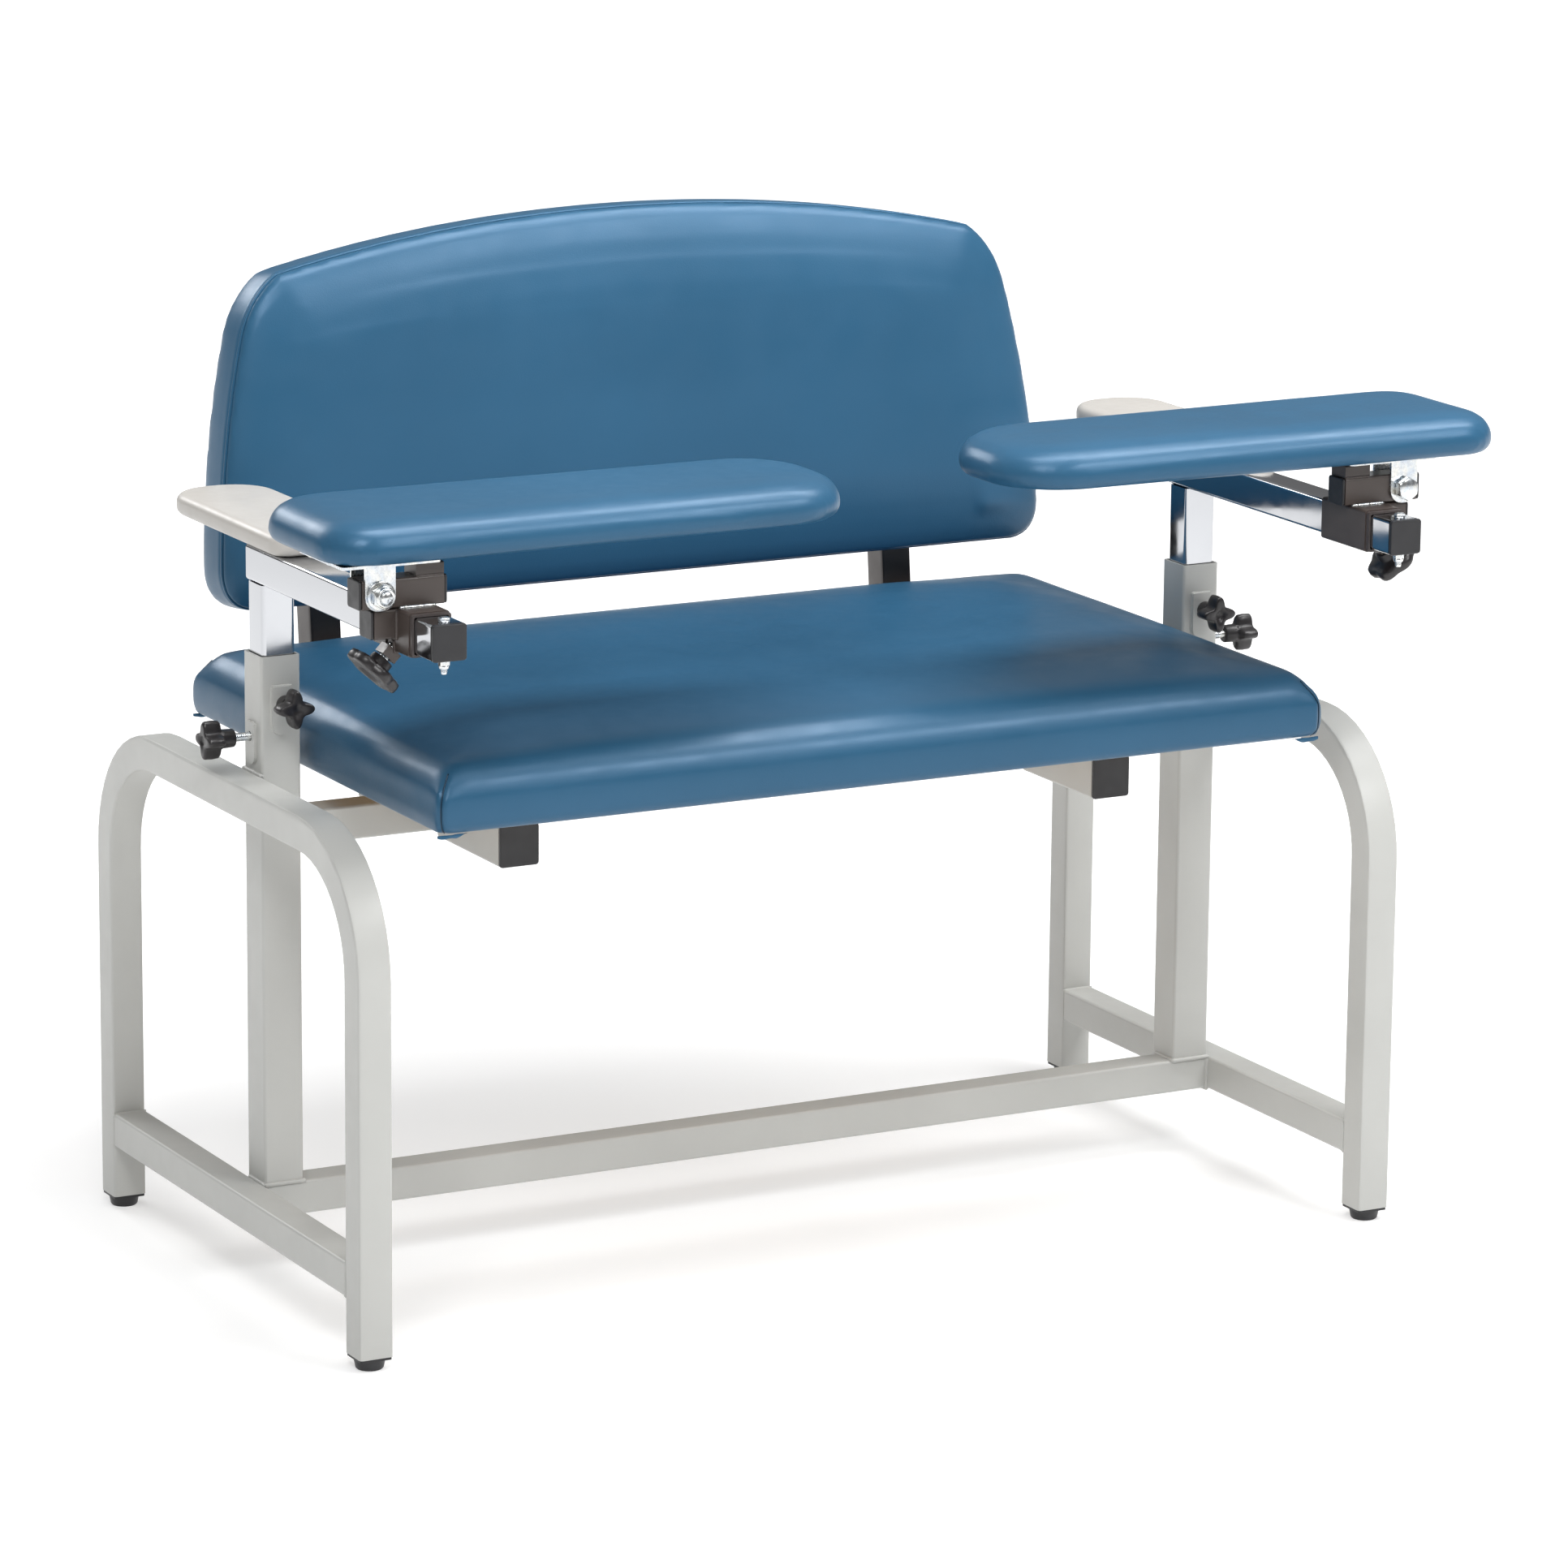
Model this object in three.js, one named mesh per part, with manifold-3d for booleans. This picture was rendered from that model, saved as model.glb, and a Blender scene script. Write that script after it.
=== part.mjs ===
// Extra-wide blood-drawing chair: two bent-tube side frames, a padded seat and back on brackets,
// and on each side a height-adjustable arm carrying a sliding, flip-up padded armrest.
// Units are millimetres. +X is the sitter's left (to the right when seen from the front),
// the chair faces -Y and +Z is up. While building, z = 0 is the bottom end of the legs and
// y = 0 is the front face of the upright posts; the last step moves the chair onto its origin.
import * as THREE from 'three';
import { mergeVertices } from 'three/addons/utils/BufferGeometryUtils.js';
import Module from 'manifold-3d';

const wasm = await Module();
wasm.setup();

// ---------- driving dimensions ----------
const GAP = 0.3;                 // air left between pieces that touch
const TUBE = 31.75;              // 1.25 in square frame tube
const SLEEVE = 38.1;             // 1.5 in square tube: posts, seat rails, sliding sleeves
const STUB = 25.4;               // 1 in square tube: hinge bar and its support stub
const WALL = 2.0;                // wall of every tube
const TUBE_R = 3.0;              // outside corner radius of the tubes

const FOOT_H = 12.0;             // glide height below the leg ends
const FRAME_HALF_W = 524.0;      // outer face of the side frames
const LEG_FRONT_Y = -274.5;      // front face of the front legs
const LEG_REAR_Y = 306.0;        // rear face of the rear legs
const FRAME_TOP_Z = 456.5;       // top of the side frames
const BEND_R = 125.0;            // outside bend radius of the side frames
const RAIL_Z = 49.0;             // underside of the low rails and cross bar

const POST_TOP_Z = 563.5;
const INNER_POST_BOTTOM_Z = 330.0;
const FRONT_KNOB_Z = 521.5;      // clamp studs on the posts
const SIDE_KNOB_Z = 489.5;
const CROSS_BAR_Z = 389.5;       // underside of the cross bar below the seat
const SEAT_RAIL_X = 302.0;       // centre line of the seat rails and back brackets
const SEAT_RAIL_FRONT_Y = -130.0;
const SEAT_RAIL_REAR_Y = 170.0;
const BRACKET_FRONT_Y = -110.0;
const BRACKET_BEND_R = 18.0;     // inside bend radius of the back brackets
const BRACKET_TOP = 161.0;       // end of the uprights, along the back plane from BACK_PIVOT_Z

const SEAT_HALF_W = 442.0;
const SEAT_FRONT_Y = -263.5;
const SEAT_REAR_Y = 271.0;
const SEAT_BOTTOM_Z = 453.6;
const SEAT_TOP_Z = 514.8;
const SEAT_EDGE_R = 13.0;
const BOARD_T = 12.0;            // plywood inside the seat

const BACK_LEAN = THREE.MathUtils.degToRad(5.7);
const BACK_PIVOT_Y = 222.9;      // front plane of the back cushion passes through this point
const BACK_PIVOT_Z = 600.0;
const BACK_T = 60.0;
const BACK_EDGE_R = 10.0;
const BACK_BOARD_T = 7.5;
const BACK_BOTTOM = 554.0;       // heights of the back outline, measured in its own plane
const BACK_LOW_SIDE = 589.0;
const BACK_HIGH_SIDE = 798.0;
const BACK_SHOULDER = 861.0;
const BACK_CROWN = 901.5;
const BACK_HALF_LOW = 429.0;     // half widths of the back outline
const BACK_HALF_HIGH = 400.5;
const BACK_HALF_SHOULDER = 361.0;

const ARM_FRONT_Y = -350.0;
const ARM_CAP_LIP = 4.3;
const ARM_BOARD_T = 19.0;
const ARM_BOARD_W = 94.0;
const ARM_BOARD_FRONT_Y = -40.0;
const ARM_BOARD_REAR_Y = 214.0;
const STOP_BOLT_Y = -338.0;

const SLEEVE_LEN = 73.0;
const STUB_END_X = 512.5;        // end of the support stub's metal
const HINGE_X = 508.0;           // flip hinge axis
const HINGE_BAR_IN_X = 447.5;    // ends of the hinge bar's metal
const HINGE_BAR_OUT_X = 523.5;
const BOLT_R = 6.35;
const PLATE_LIFT = 24.0;         // hinge axis to the underside of the pad plate
const PLATE_T = 2.5;
const PLATE_IN_X = 451.0;
const PLATE_OUT_X = 543.0;
const FLANGE_HALF_W = 14.0;

const PAD_LENGTH = 509.0;
const PAD_T = 36.5;
const PAD_EDGE_R = 16.0;
const PAD_BOARD_T = 9.0;

const ARMS = {
  // tube height, sleeve front face, the pad's front, rear and outer edge, the board's left edge;
  // the two arms stand at different heights and their pads are mounted a little differently
  left: {
    sign: -1, tubeZ: 627.0, sleeveY: -309.0,
    padFrontY: -304.0, padRearY: -127.0, padOutX: 556.0, boardX: -494.0,
  },
  right: {
    sign: 1, tubeZ: 636.5, sleeveY: -311.0,
    padFrontY: -309.5, padRearY: -132.5, padOutX: 610.0, boardX: 441.0,
  },
};

const FRAME_IN_X = FRAME_HALF_W - TUBE;
const POST_OUT_X = FRAME_IN_X - GAP;
const POST_IN_X = POST_OUT_X - SLEEVE;
const POST_X = (POST_OUT_X + POST_IN_X) / 2;
const POST_Y = SLEEVE / 2;

// ---------- colours ----------
const PAINT = {
  frame: { color: 0xc6c6bf, roughness: 0.45 },
  brown: { color: 0x453d39, roughness: 0.4 },
  chrome: { color: 0xd5d8dc, roughness: 0.12, metalness: 1 },
  zinc: { color: 0xc9ccd0, roughness: 0.3, metalness: 1 },
  vinyl: { color: 0x3c628c, roughness: 0.45 },
  board: { color: 0xdbd7d0, roughness: 0.5 },
  plywood: { color: 0xb08a5a, roughness: 0.8 },
  black: { color: 0x16171a, roughness: 0.5 },
};

const chair = new THREE.Group();
chair.name = 'phlebotomy_chair';

function add(name, solid, paint) {
  const material = new THREE.MeshStandardMaterial(PAINT[paint]);
  const mesh = new THREE.Mesh(toGeometry(solid), material);
  mesh.name = name;
  chair.add(mesh);
}

// ---------- solids ----------
function toSolid(geometry) {
  geometry.deleteAttribute('normal');
  geometry.deleteAttribute('uv');
  const merged = mergeVertices(geometry, 1e-4);
  const mesh = new wasm.Mesh({
    numProp: 3,
    vertProperties: new Float32Array(merged.attributes.position.array),
    triVerts: new Uint32Array(merged.index.array),
  });
  return new wasm.Manifold(mesh);
}

function toGeometry(solid) {
  const mesh = solid.getMesh();
  const geometry = new THREE.BufferGeometry();
  const stride = mesh.numProp;
  const points = new Float32Array((mesh.vertProperties.length / stride) * 3);
  for (let i = 0; i < points.length / 3; i++) {
    for (let k = 0; k < 3; k++) points[3 * i + k] = mesh.vertProperties[stride * i + k];
  }
  geometry.setAttribute('position', new THREE.BufferAttribute(points, 3));
  geometry.setIndex(new THREE.BufferAttribute(new Uint32Array(mesh.triVerts), 1));
  geometry.computeVertexNormals();
  return geometry;
}

function arc(cx, cy, r, fromDeg, toDeg, steps) {
  const points = [];
  for (let i = 0; i <= steps; i++) {
    const a = THREE.MathUtils.degToRad(fromDeg + ((toDeg - fromDeg) * i) / steps);
    points.push(new THREE.Vector2(cx + r * Math.cos(a), cy + r * Math.sin(a)));
  }
  return points;
}

// Rectangle from (x0, y0) to (x1, y1); radii go counter-clockwise from the lower left corner.
function roundedRect(x0, y0, x1, y1, radii, steps = 3) {
  const [a, b, c, d] = Array.isArray(radii) ? radii : [radii, radii, radii, radii];
  return [
    ...arc(x0 + a, y0 + a, a, 180, 270, steps),
    ...arc(x1 - b, y0 + b, b, 270, 360, steps),
    ...arc(x1 - c, y1 - c, c, 0, 90, steps),
    ...arc(x0 + d, y1 - d, d, 90, 180, steps),
  ];
}

// Rectangle around a centre, given its half sizes.
function centredRect(cx, cy, halfW, halfH, radii, steps = 3) {
  return roundedRect(cx - halfW, cy - halfH, cx + halfW, cy + halfH, radii, steps);
}

// Two distances in rising order, for a stretch that is mirrored from side to side.
function span(a, b) {
  return [Math.min(a, b), Math.max(a, b)];
}

// Pushes an outline along an axis. The outline is drawn in (y, z) for x, (x, z) for y and
// (x, y) for z. A bevel rounds both ends outwards, so such an outline is drawn that much smaller.
function prism(axis, outline, from, to, bevel = 0, bevelSegments = 3) {
  const geometry = new THREE.ExtrudeGeometry(new THREE.Shape(outline), {
    depth: to - from - 2 * bevel,
    steps: 1,
    bevelEnabled: bevel > 0,
    bevelThickness: bevel,
    bevelSize: bevel,
    bevelSegments,
  });
  geometry.translate(0, 0, from + bevel);
  if (axis === 'x') {
    const turn = new THREE.Matrix4().makeBasis(
      new THREE.Vector3(0, 1, 0), new THREE.Vector3(0, 0, 1), new THREE.Vector3(1, 0, 0));
    geometry.applyMatrix4(turn);
  }
  if (axis === 'y') {
    geometry.translate(0, 0, -from - to);
    geometry.rotateX(Math.PI / 2);
  }
  return toSolid(geometry);
}

function block(x0, x1, y0, y1, z0, z1) {
  const corners = [[x0, y0], [x1, y0], [x1, y1], [x0, y1]];
  return prism('z', corners.map(([x, y]) => new THREE.Vector2(x, y)), z0, z1);
}

// Straight square tube; (a, b) is the lower corner of its section, as the axis' outline is drawn.
function squareTube(axis, size, a, b, from, to, closedFrom = false, closedTo = false, r = TUBE_R) {
  const outer = prism(axis, roundedRect(a, b, a + size, b + size, r), from, to);
  const w = WALL;
  const hollowEnds = [closedFrom ? from + w : from - 1, closedTo ? to - w : to + 1];
  const hollow = prism(axis, centredRect(a + size / 2, b + size / 2, size / 2 - w, size / 2 - w,
    Math.max(r - w, 0.8), 1), ...hollowEnds);
  return outer.subtract(hollow);
}

// Runs a knob or bolt profile [[radius, distance], ...] around a line from base along direction.
function turned(profile, base, direction, steps = 20) {
  const geometry = new THREE.LatheGeometry(profile.map(([r, d]) => new THREE.Vector2(r, d)), steps);
  return placed(geometry, base, direction);
}

function placed(geometry, base, direction) {
  const up = new THREE.Vector3(0, 1, 0);
  const aim = new THREE.Vector3(...direction).normalize();
  geometry.applyQuaternion(new THREE.Quaternion().setFromUnitVectors(up, aim));
  geometry.translate(...base);
  return toSolid(geometry);
}

function rod(r, base, direction, from, to, steps = 16) {
  return turned([[0, from], [r, from], [r, to], [0, to]], base, direction, steps);
}

// Lobed hand grip with rounded ends, between two distances along the line.
function lobes(count, rMean, rWave, base, direction, from, to, bevel) {
  const steps = count * 7;
  const outline = [];
  for (let i = 0; i < steps; i++) {
    const a = (2 * Math.PI * i) / steps;
    const r = rMean + rWave * Math.cos(count * a) - bevel;
    outline.push(new THREE.Vector2(r * Math.cos(a), r * Math.sin(a)));
  }
  const geometry = new THREE.ExtrudeGeometry(new THREE.Shape(outline), {
    depth: to - from - 2 * bevel, steps: 1, bevelEnabled: true,
    bevelThickness: bevel, bevelSize: bevel, bevelSegments: 2,
  });
  geometry.translate(0, 0, from + bevel);
  geometry.rotateX(-Math.PI / 2);
  return placed(geometry, base, direction);
}

function hexagon(acrossFlats) {
  const r = acrossFlats / Math.sqrt(3);
  return arc(0, 0, r, 0, 360, 6).slice(0, -1);
}

function hexPrism(acrossFlats, base, direction, from, to) {
  const geometry = new THREE.ExtrudeGeometry(new THREE.Shape(hexagon(acrossFlats)), {
    depth: to - from, steps: 1, bevelEnabled: false,
  });
  geometry.translate(0, 0, from);
  geometry.rotateX(-Math.PI / 2);
  return placed(geometry, base, direction);
}

// ---------- side frames, rails, posts and feet ----------
// Side view of the bent tube with both faces drawn in by `inset`.
function sideFrameOutline(inset, bottom) {
  const yF = LEG_FRONT_Y + inset;
  const yR = LEG_REAR_Y - inset;
  const outer = BEND_R - inset;
  const inner = BEND_R - TUBE + inset;
  const cz = FRAME_TOP_Z - BEND_R;
  const cyF = LEG_FRONT_Y + BEND_R;
  const cyR = LEG_REAR_Y - BEND_R;
  return [
    new THREE.Vector2(yF, bottom),
    ...arc(cyF, cz, outer, 180, 90, 12),
    ...arc(cyR, cz, outer, 90, 0, 12),
    new THREE.Vector2(yR, bottom),
    new THREE.Vector2(cyR + inner, bottom),
    ...arc(cyR, cz, inner, 0, 90, 12),
    ...arc(cyF, cz, inner, 90, 180, 12),
    new THREE.Vector2(cyF - inner, bottom),
  ];
}

function sideFrame(sign) {
  const x0 = sign > 0 ? FRAME_IN_X : -FRAME_HALF_W;
  const x1 = x0 + TUBE;
  const skin = prism('x', sideFrameOutline(TUBE_R, -20), x0, x1, TUBE_R, 2);
  const hollow = prism('x', sideFrameOutline(WALL, -30), x0 + WALL, x1 - WALL);
  const below = block(x0 - 5, x1 + 5, LEG_FRONT_Y - 5, LEG_REAR_Y + 5, -40, 0);
  return skin.subtract(hollow).subtract(below);
}

// Round glide with a plug that fits inside the leg.
function foot(cx, cy) {
  const half = TUBE / 2 - 0.8;
  const plugHalf = TUBE / 2 - WALL - GAP;
  const glideProfile = [
    [0, -FOOT_H], [11.2, -FOOT_H], [12.4, -FOOT_H + 1.2], [14.0, -3.0], [14.0, -2.0], [0, -2.0],
  ];
  const glide = turned(glideProfile, [cx, cy, 0], [0, 0, 1], 24);
  const flange = prism('z', centredRect(cx, cy, half, half, 2.5), -2.5, -GAP);
  const plug = prism('z', centredRect(cx, cy, plugHalf, plugHalf, 1.5, 1), -1.0, 14);
  return glide.add(flange).add(plug);
}

function post(sign) {
  const x0 = sign > 0 ? POST_IN_X : -POST_OUT_X;
  const cx = sign * POST_X;
  const tube = squareTube('z', SLEEVE, x0, 0, RAIL_Z + TUBE + GAP, POST_TOP_Z);
  // welded clamp plates with rounded lower corners
  const plateRadii = [8, 8, 1.5, 1.5];
  const frontPlate = prism('y', centredRect(cx, FRONT_KNOB_Z - 6.5, 9.5, 21.5, plateRadii), -3, 0.5);
  const xFace = sign * POST_OUT_X;
  const sidePlate = prism('x', centredRect(POST_Y, SIDE_KNOB_Z - 6, 9.5, 19, plateRadii),
    ...span(xFace - sign * 0.5, xFace + sign * 3));
  const frontHole = rod(4.4, [cx, 0, FRONT_KNOB_Z], [0, -1, 0], -6, 6);
  const sideHole = rod(4.4, [xFace, POST_Y, SIDE_KNOB_Z], [sign, 0, 0], -6, 6);
  return tube.add(frontPlate).add(sidePlate).subtract(frontHole).subtract(sideHole);
}

// Four-lobed clamp knob with its threaded stud; distances run outwards from the post's face.
function postKnob(base, direction, studEnd) {
  const stud = rod(4.0, base, direction, -2.6, studEnd + 4);
  const neckProfile = [[0, 0], [7.2, 0], [8.2, 2], [8.2, 14], [0, 14]];
  const neck = turned(neckProfile.map(([r, d]) => [r, studEnd + d]), base, direction);
  const grip = lobes(4, 13.6, 3.9, base, direction, studEnd + 12, studEnd + 29, 1.5);
  return stud.add(neck).add(grip);
}

for (const [side, sign] of [['left', -1], ['right', 1]]) {
  const railX = sign > 0 ? FRAME_IN_X : -FRAME_HALF_W;
  const legX = sign * (FRAME_HALF_W - TUBE / 2);
  add(`side_frame_${side}`, sideFrame(sign), 'frame');
  add(`side_rail_${side}`, squareTube('y', TUBE, railX, RAIL_Z,
    LEG_FRONT_Y + TUBE + GAP, LEG_REAR_Y - TUBE - GAP), 'frame');
  add(`foot_front_${side}`, foot(legX, LEG_FRONT_Y + TUBE / 2), 'black');
  add(`foot_rear_${side}`, foot(legX, LEG_REAR_Y - TUBE / 2), 'black');
  add(`post_${side}`, post(sign), 'frame');
  const frontKnob = postKnob([sign * POST_X, 0, FRONT_KNOB_Z], [0, -1, 0], 8);
  add(`post_knob_front_${side}`, frontKnob, 'black');
  const sideKnob = postKnob([sign * POST_OUT_X, POST_Y, SIDE_KNOB_Z], [sign, 0, 0], 19.5);
  add(`post_knob_side_${side}`, sideKnob, 'black');
}

add('lower_cross_bar', squareTube('x', TUBE, 0, RAIL_Z, -FRAME_IN_X + GAP, FRAME_IN_X - GAP), 'frame');
add('seat_cross_bar', squareTube('x', TUBE, 0, CROSS_BAR_Z, -POST_IN_X + GAP, POST_IN_X - GAP), 'frame');

// ---------- seat rails and back brackets ----------
const SEAT_RAIL_Z = CROSS_BAR_Z + TUBE - SLEEVE;
const BRACKET_Z = CROSS_BAR_Z + TUBE + GAP;
const BRACKET_LOCAL_Y = BACK_T + BACK_BOARD_T + GAP;   // uprights' front face behind the back plane

// End cap with a plug: the lip covers the tube end that faces -Y at y = endY.
function frontCap(cx, cz, size, endY, lip, plugLen, r) {
  const h = size / 2;
  const p = size / 2 - WALL - GAP;
  const cover = prism('y', centredRect(cx, cz, h - 1, h - 1, r), endY - GAP - lip, endY - GAP, 1, 2);
  const plug = prism('y', centredRect(cx, cz, p, p, 1.5, 1), endY - GAP - 1.5, endY + plugLen);
  return cover.add(plug);
}

// Side view of the bracket: along under the seat, then up behind the back, leaning with it.
function bracketOutline(inset, overrun) {
  const n = new THREE.Vector2(Math.cos(BACK_LEAN), -Math.sin(BACK_LEAN));
  const d = new THREE.Vector2(Math.sin(BACK_LEAN), Math.cos(BACK_LEAN));
  const top = BRACKET_Z + TUBE;
  const cz = top + BRACKET_BEND_R;
  const faceN = BACK_PIVOT_Y * n.x + BACK_PIVOT_Z * n.y + BRACKET_LOCAL_Y;
  const cy = (faceN - BRACKET_BEND_R - cz * n.y) / n.x;
  const inner = BRACKET_BEND_R + inset;
  const outer = BRACKET_BEND_R + TUBE - inset;
  const end = BACK_PIVOT_Y * d.x + BACK_PIVOT_Z * d.y + BRACKET_TOP + overrun;
  const reach = end - (cy * d.x + cz * d.y);
  const leanDeg = THREE.MathUtils.radToDeg(BACK_LEAN);
  const at = (r, along) => new THREE.Vector2(
    cy + n.x * r + d.x * along, cz + n.y * r + d.y * along);
  return [
    new THREE.Vector2(BRACKET_FRONT_Y - overrun, cz - outer),
    ...arc(cy, cz, outer, -90, -leanDeg, 8),
    at(outer, reach),
    at(inner, reach),
    ...arc(cy, cz, inner, -leanDeg, -90, 8),
    new THREE.Vector2(BRACKET_FRONT_Y - overrun, cz - inner),
  ];
}

function backBracket(sign) {
  const x0 = sign * SEAT_RAIL_X - TUBE / 2;
  const skin = prism('x', bracketOutline(TUBE_R, -TUBE_R), x0, x0 + TUBE, TUBE_R, 2);
  const hollow = prism('x', bracketOutline(WALL, 5), x0 + WALL, x0 + TUBE - WALL);
  return skin.subtract(hollow);
}

for (const [side, sign] of [['left', -1], ['right', 1]]) {
  const x0 = sign * SEAT_RAIL_X - SLEEVE / 2;
  add(`seat_rail_front_${side}`, squareTube('y', SLEEVE, x0, SEAT_RAIL_Z,
    SEAT_RAIL_FRONT_Y + 3.5 + GAP, -GAP), 'frame');
  add(`seat_rail_rear_${side}`, squareTube('y', SLEEVE, x0, SEAT_RAIL_Z, TUBE + GAP, SEAT_RAIL_REAR_Y,
    false, true), 'frame');
  add(`seat_rail_cap_${side}`, frontCap(sign * SEAT_RAIL_X, SEAT_RAIL_Z + SLEEVE / 2, SLEEVE,
    SEAT_RAIL_FRONT_Y + 3.5 + GAP, 3.5, 12, 2), 'black');
  add(`back_bracket_${side}`, backBracket(sign), 'brown');
}

// ---------- seat and back ----------
const seatInset = SEAT_EDGE_R;
const seatSkin = prism('z', roundedRect(-SEAT_HALF_W + seatInset, SEAT_FRONT_Y + seatInset,
  SEAT_HALF_W - seatInset, SEAT_REAR_Y - seatInset, 7, 3), SEAT_BOTTOM_Z, SEAT_TOP_Z, SEAT_EDGE_R, 4);
const boardHalfW = SEAT_HALF_W - 24;
const boardY0 = SEAT_FRONT_Y + 24;
const boardY1 = SEAT_REAR_Y - 24;
const seatPocket = prism('z', roundedRect(-boardHalfW - GAP, boardY0 - GAP,
  boardHalfW + GAP, boardY1 + GAP, 15, 3), SEAT_BOTTOM_Z - 5, SEAT_BOTTOM_Z + BOARD_T + GAP);
add('seat_cushion', seatSkin.subtract(seatPocket), 'vinyl');
add('seat_board', prism('z', roundedRect(-boardHalfW, boardY0, boardHalfW, boardY1, 15, 3),
  SEAT_BOTTOM_Z, SEAT_BOTTOM_Z + BOARD_T), 'plywood');

// Back outline in (x, height), drawn in by `inset`: flat bottom, sides that narrow upwards,
// rounded shoulders and an arched top.
function backOutline(inset) {
  const half = new THREE.Path();
  half.moveTo(BACK_HALF_LOW - 30 - inset, BACK_BOTTOM + inset);
  half.quadraticCurveTo(BACK_HALF_LOW - 2 - inset, BACK_BOTTOM + 3 + inset,
    BACK_HALF_LOW - inset, BACK_LOW_SIDE);
  half.quadraticCurveTo(BACK_HALF_LOW - 5 - inset, 702, BACK_HALF_HIGH - inset, BACK_HIGH_SIDE);
  half.quadraticCurveTo(BACK_HALF_HIGH - 8 - inset, 838 - inset * 0.6,
    BACK_HALF_SHOULDER - inset * 0.5, BACK_SHOULDER - inset * 0.9);
  half.quadraticCurveTo(190, BACK_CROWN - inset, 0, BACK_CROWN - inset);
  const right = half.getPoints(5);
  const left = right.slice(0, -1).reverse().map((p) => new THREE.Vector2(-p.x, p.y));
  return [...right, ...left];
}

function lean(solid) {
  const geometry = toGeometry(solid);
  geometry.translate(0, 0, -BACK_PIVOT_Z);
  geometry.rotateX(-BACK_LEAN);
  geometry.translate(0, BACK_PIVOT_Y, BACK_PIVOT_Z);
  return toSolid(geometry);
}

add('back_cushion', lean(prism('y', backOutline(BACK_EDGE_R), 0, BACK_T, BACK_EDGE_R, 3)), 'vinyl');
add('back_board', lean(prism('y', backOutline(14), BACK_T + GAP, BACK_T + BACK_BOARD_T)), 'black');

// ---------- arms ----------
for (const [side, arm] of Object.entries(ARMS)) {
  const s = arm.sign;
  const armX = s * POST_X;
  const z0 = arm.tubeZ;
  const zc = z0 + TUBE / 2;
  const half = TUBE / 2;

  const innerPost = squareTube('z', TUBE, armX - half, POST_Y - half, INNER_POST_BOTTOM_Z, z0 - GAP,
    false, false, 4);
  add(`arm_inner_post_${side}`, innerPost, 'chrome');
  const metalFrontY = ARM_FRONT_Y + ARM_CAP_LIP + GAP;
  const boltHole = rod(3.4, [armX, STOP_BOLT_Y, 0], [0, 0, 1], z0 - 5, z0 + TUBE + 5, 12);
  const armTube = squareTube('y', TUBE, armX - half, z0, metalFrontY, SLEEVE, false, true);
  add(`arm_tube_${side}`, armTube.subtract(boltHole), 'chrome');
  add(`arm_tube_cap_${side}`, frontCap(armX, zc, TUBE, metalFrontY, ARM_CAP_LIP, 3.5, 2), 'black');

  // stop bolt that keeps the sleeve from coming off: hex head above, nut and thread end below
  const boltBase = [armX, STOP_BOLT_Y, 0];
  const top = z0 + TUBE;
  add(`stop_bolt_${side}`, rod(3.0, boltBase, [0, 0, 1], z0 - 13, top + 1, 12)
    .add(hexPrism(10, boltBase, [0, 0, 1], top + GAP, top + 4.3))
    .add(hexPrism(10, boltBase, [0, 0, 1], z0 - 8.5, z0 - GAP)), 'zinc');

  const bevel = 7;
  const boardOutline = roundedRect(arm.boardX + bevel, ARM_BOARD_FRONT_Y + bevel,
    arm.boardX + ARM_BOARD_W - bevel, ARM_BOARD_REAR_Y - bevel, [13, 13, 36, 36], 6);
  const board = prism('z', boardOutline, top + GAP, top + GAP + ARM_BOARD_T, bevel, 3);
  add(`arm_board_${side}`, board, 'board');

  // sliding sleeve with its welded stub and clamp nut
  const y0 = arm.sleeveY;
  const y1 = y0 + SLEEVE_LEN;
  const yc = (y0 + y1) / 2;
  const sleeveHalf = SLEEVE / 2;
  const sleeveTop = zc + sleeveHalf;
  const corner = [armX + s * sleeveHalf, yc, zc - sleeveHalf];
  const slant = [s, 0, -1];
  const stubZ = sleeveTop - STUB - 0.5;
  const stubHalf = STUB / 2;
  const stubBore = stubHalf - WALL;
  const stubX = span(armX + s * (sleeveHalf - 1), s * STUB_END_X);
  const stubSkin = prism('x', centredRect(yc, stubZ + stubHalf, stubHalf, stubHalf, 2.5), ...stubX);
  const stubHollowX = span(armX + s * (sleeveHalf + 1), s * (STUB_END_X + 2));
  const stubHollow = prism('x', centredRect(yc, stubZ + stubHalf, stubBore, stubBore, 1, 1),
    ...stubHollowX);
  const nutBox = new THREE.BoxGeometry(15, 9, 15);
  nutBox.rotateY(Math.PI / 4);
  nutBox.translate(0, 3, 0);
  const nut = placed(nutBox, corner, slant);
  const tunnelHalf = sleeveHalf - WALL;
  const tunnel = prism('y', centredRect(armX, zc, tunnelHalf, tunnelHalf, 1, 1), y0 - 5, y1 + 5);
  const sleeveSkin = prism('y', centredRect(armX, zc, sleeveHalf, sleeveHalf, TUBE_R), y0, y1);
  const sleeve = sleeveSkin.add(nut).add(stubSkin.subtract(stubHollow)).subtract(tunnel)
    .subtract(rod(5.2, corner, slant, -8, 12));
  add(`sleeve_${side}`, sleeve, 'brown');

  // plastic lining of the sleeve with a lip over its front end
  const lip = prism('y', centredRect(armX, zc, 18.2, 18.2, 2.5), y0 - 5, y0 - GAP);
  const lining = prism('y', centredRect(armX, zc, 16.7, 16.7, 1.2, 1), y0 - 2, y0 + 30);
  const bore = prism('y', centredRect(armX, zc, 16.2, 16.2, 1.2, 1), y0 - 8, y0 + 40);
  add(`sleeve_liner_${side}`, lip.add(lining).subtract(bore), 'black');

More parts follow.
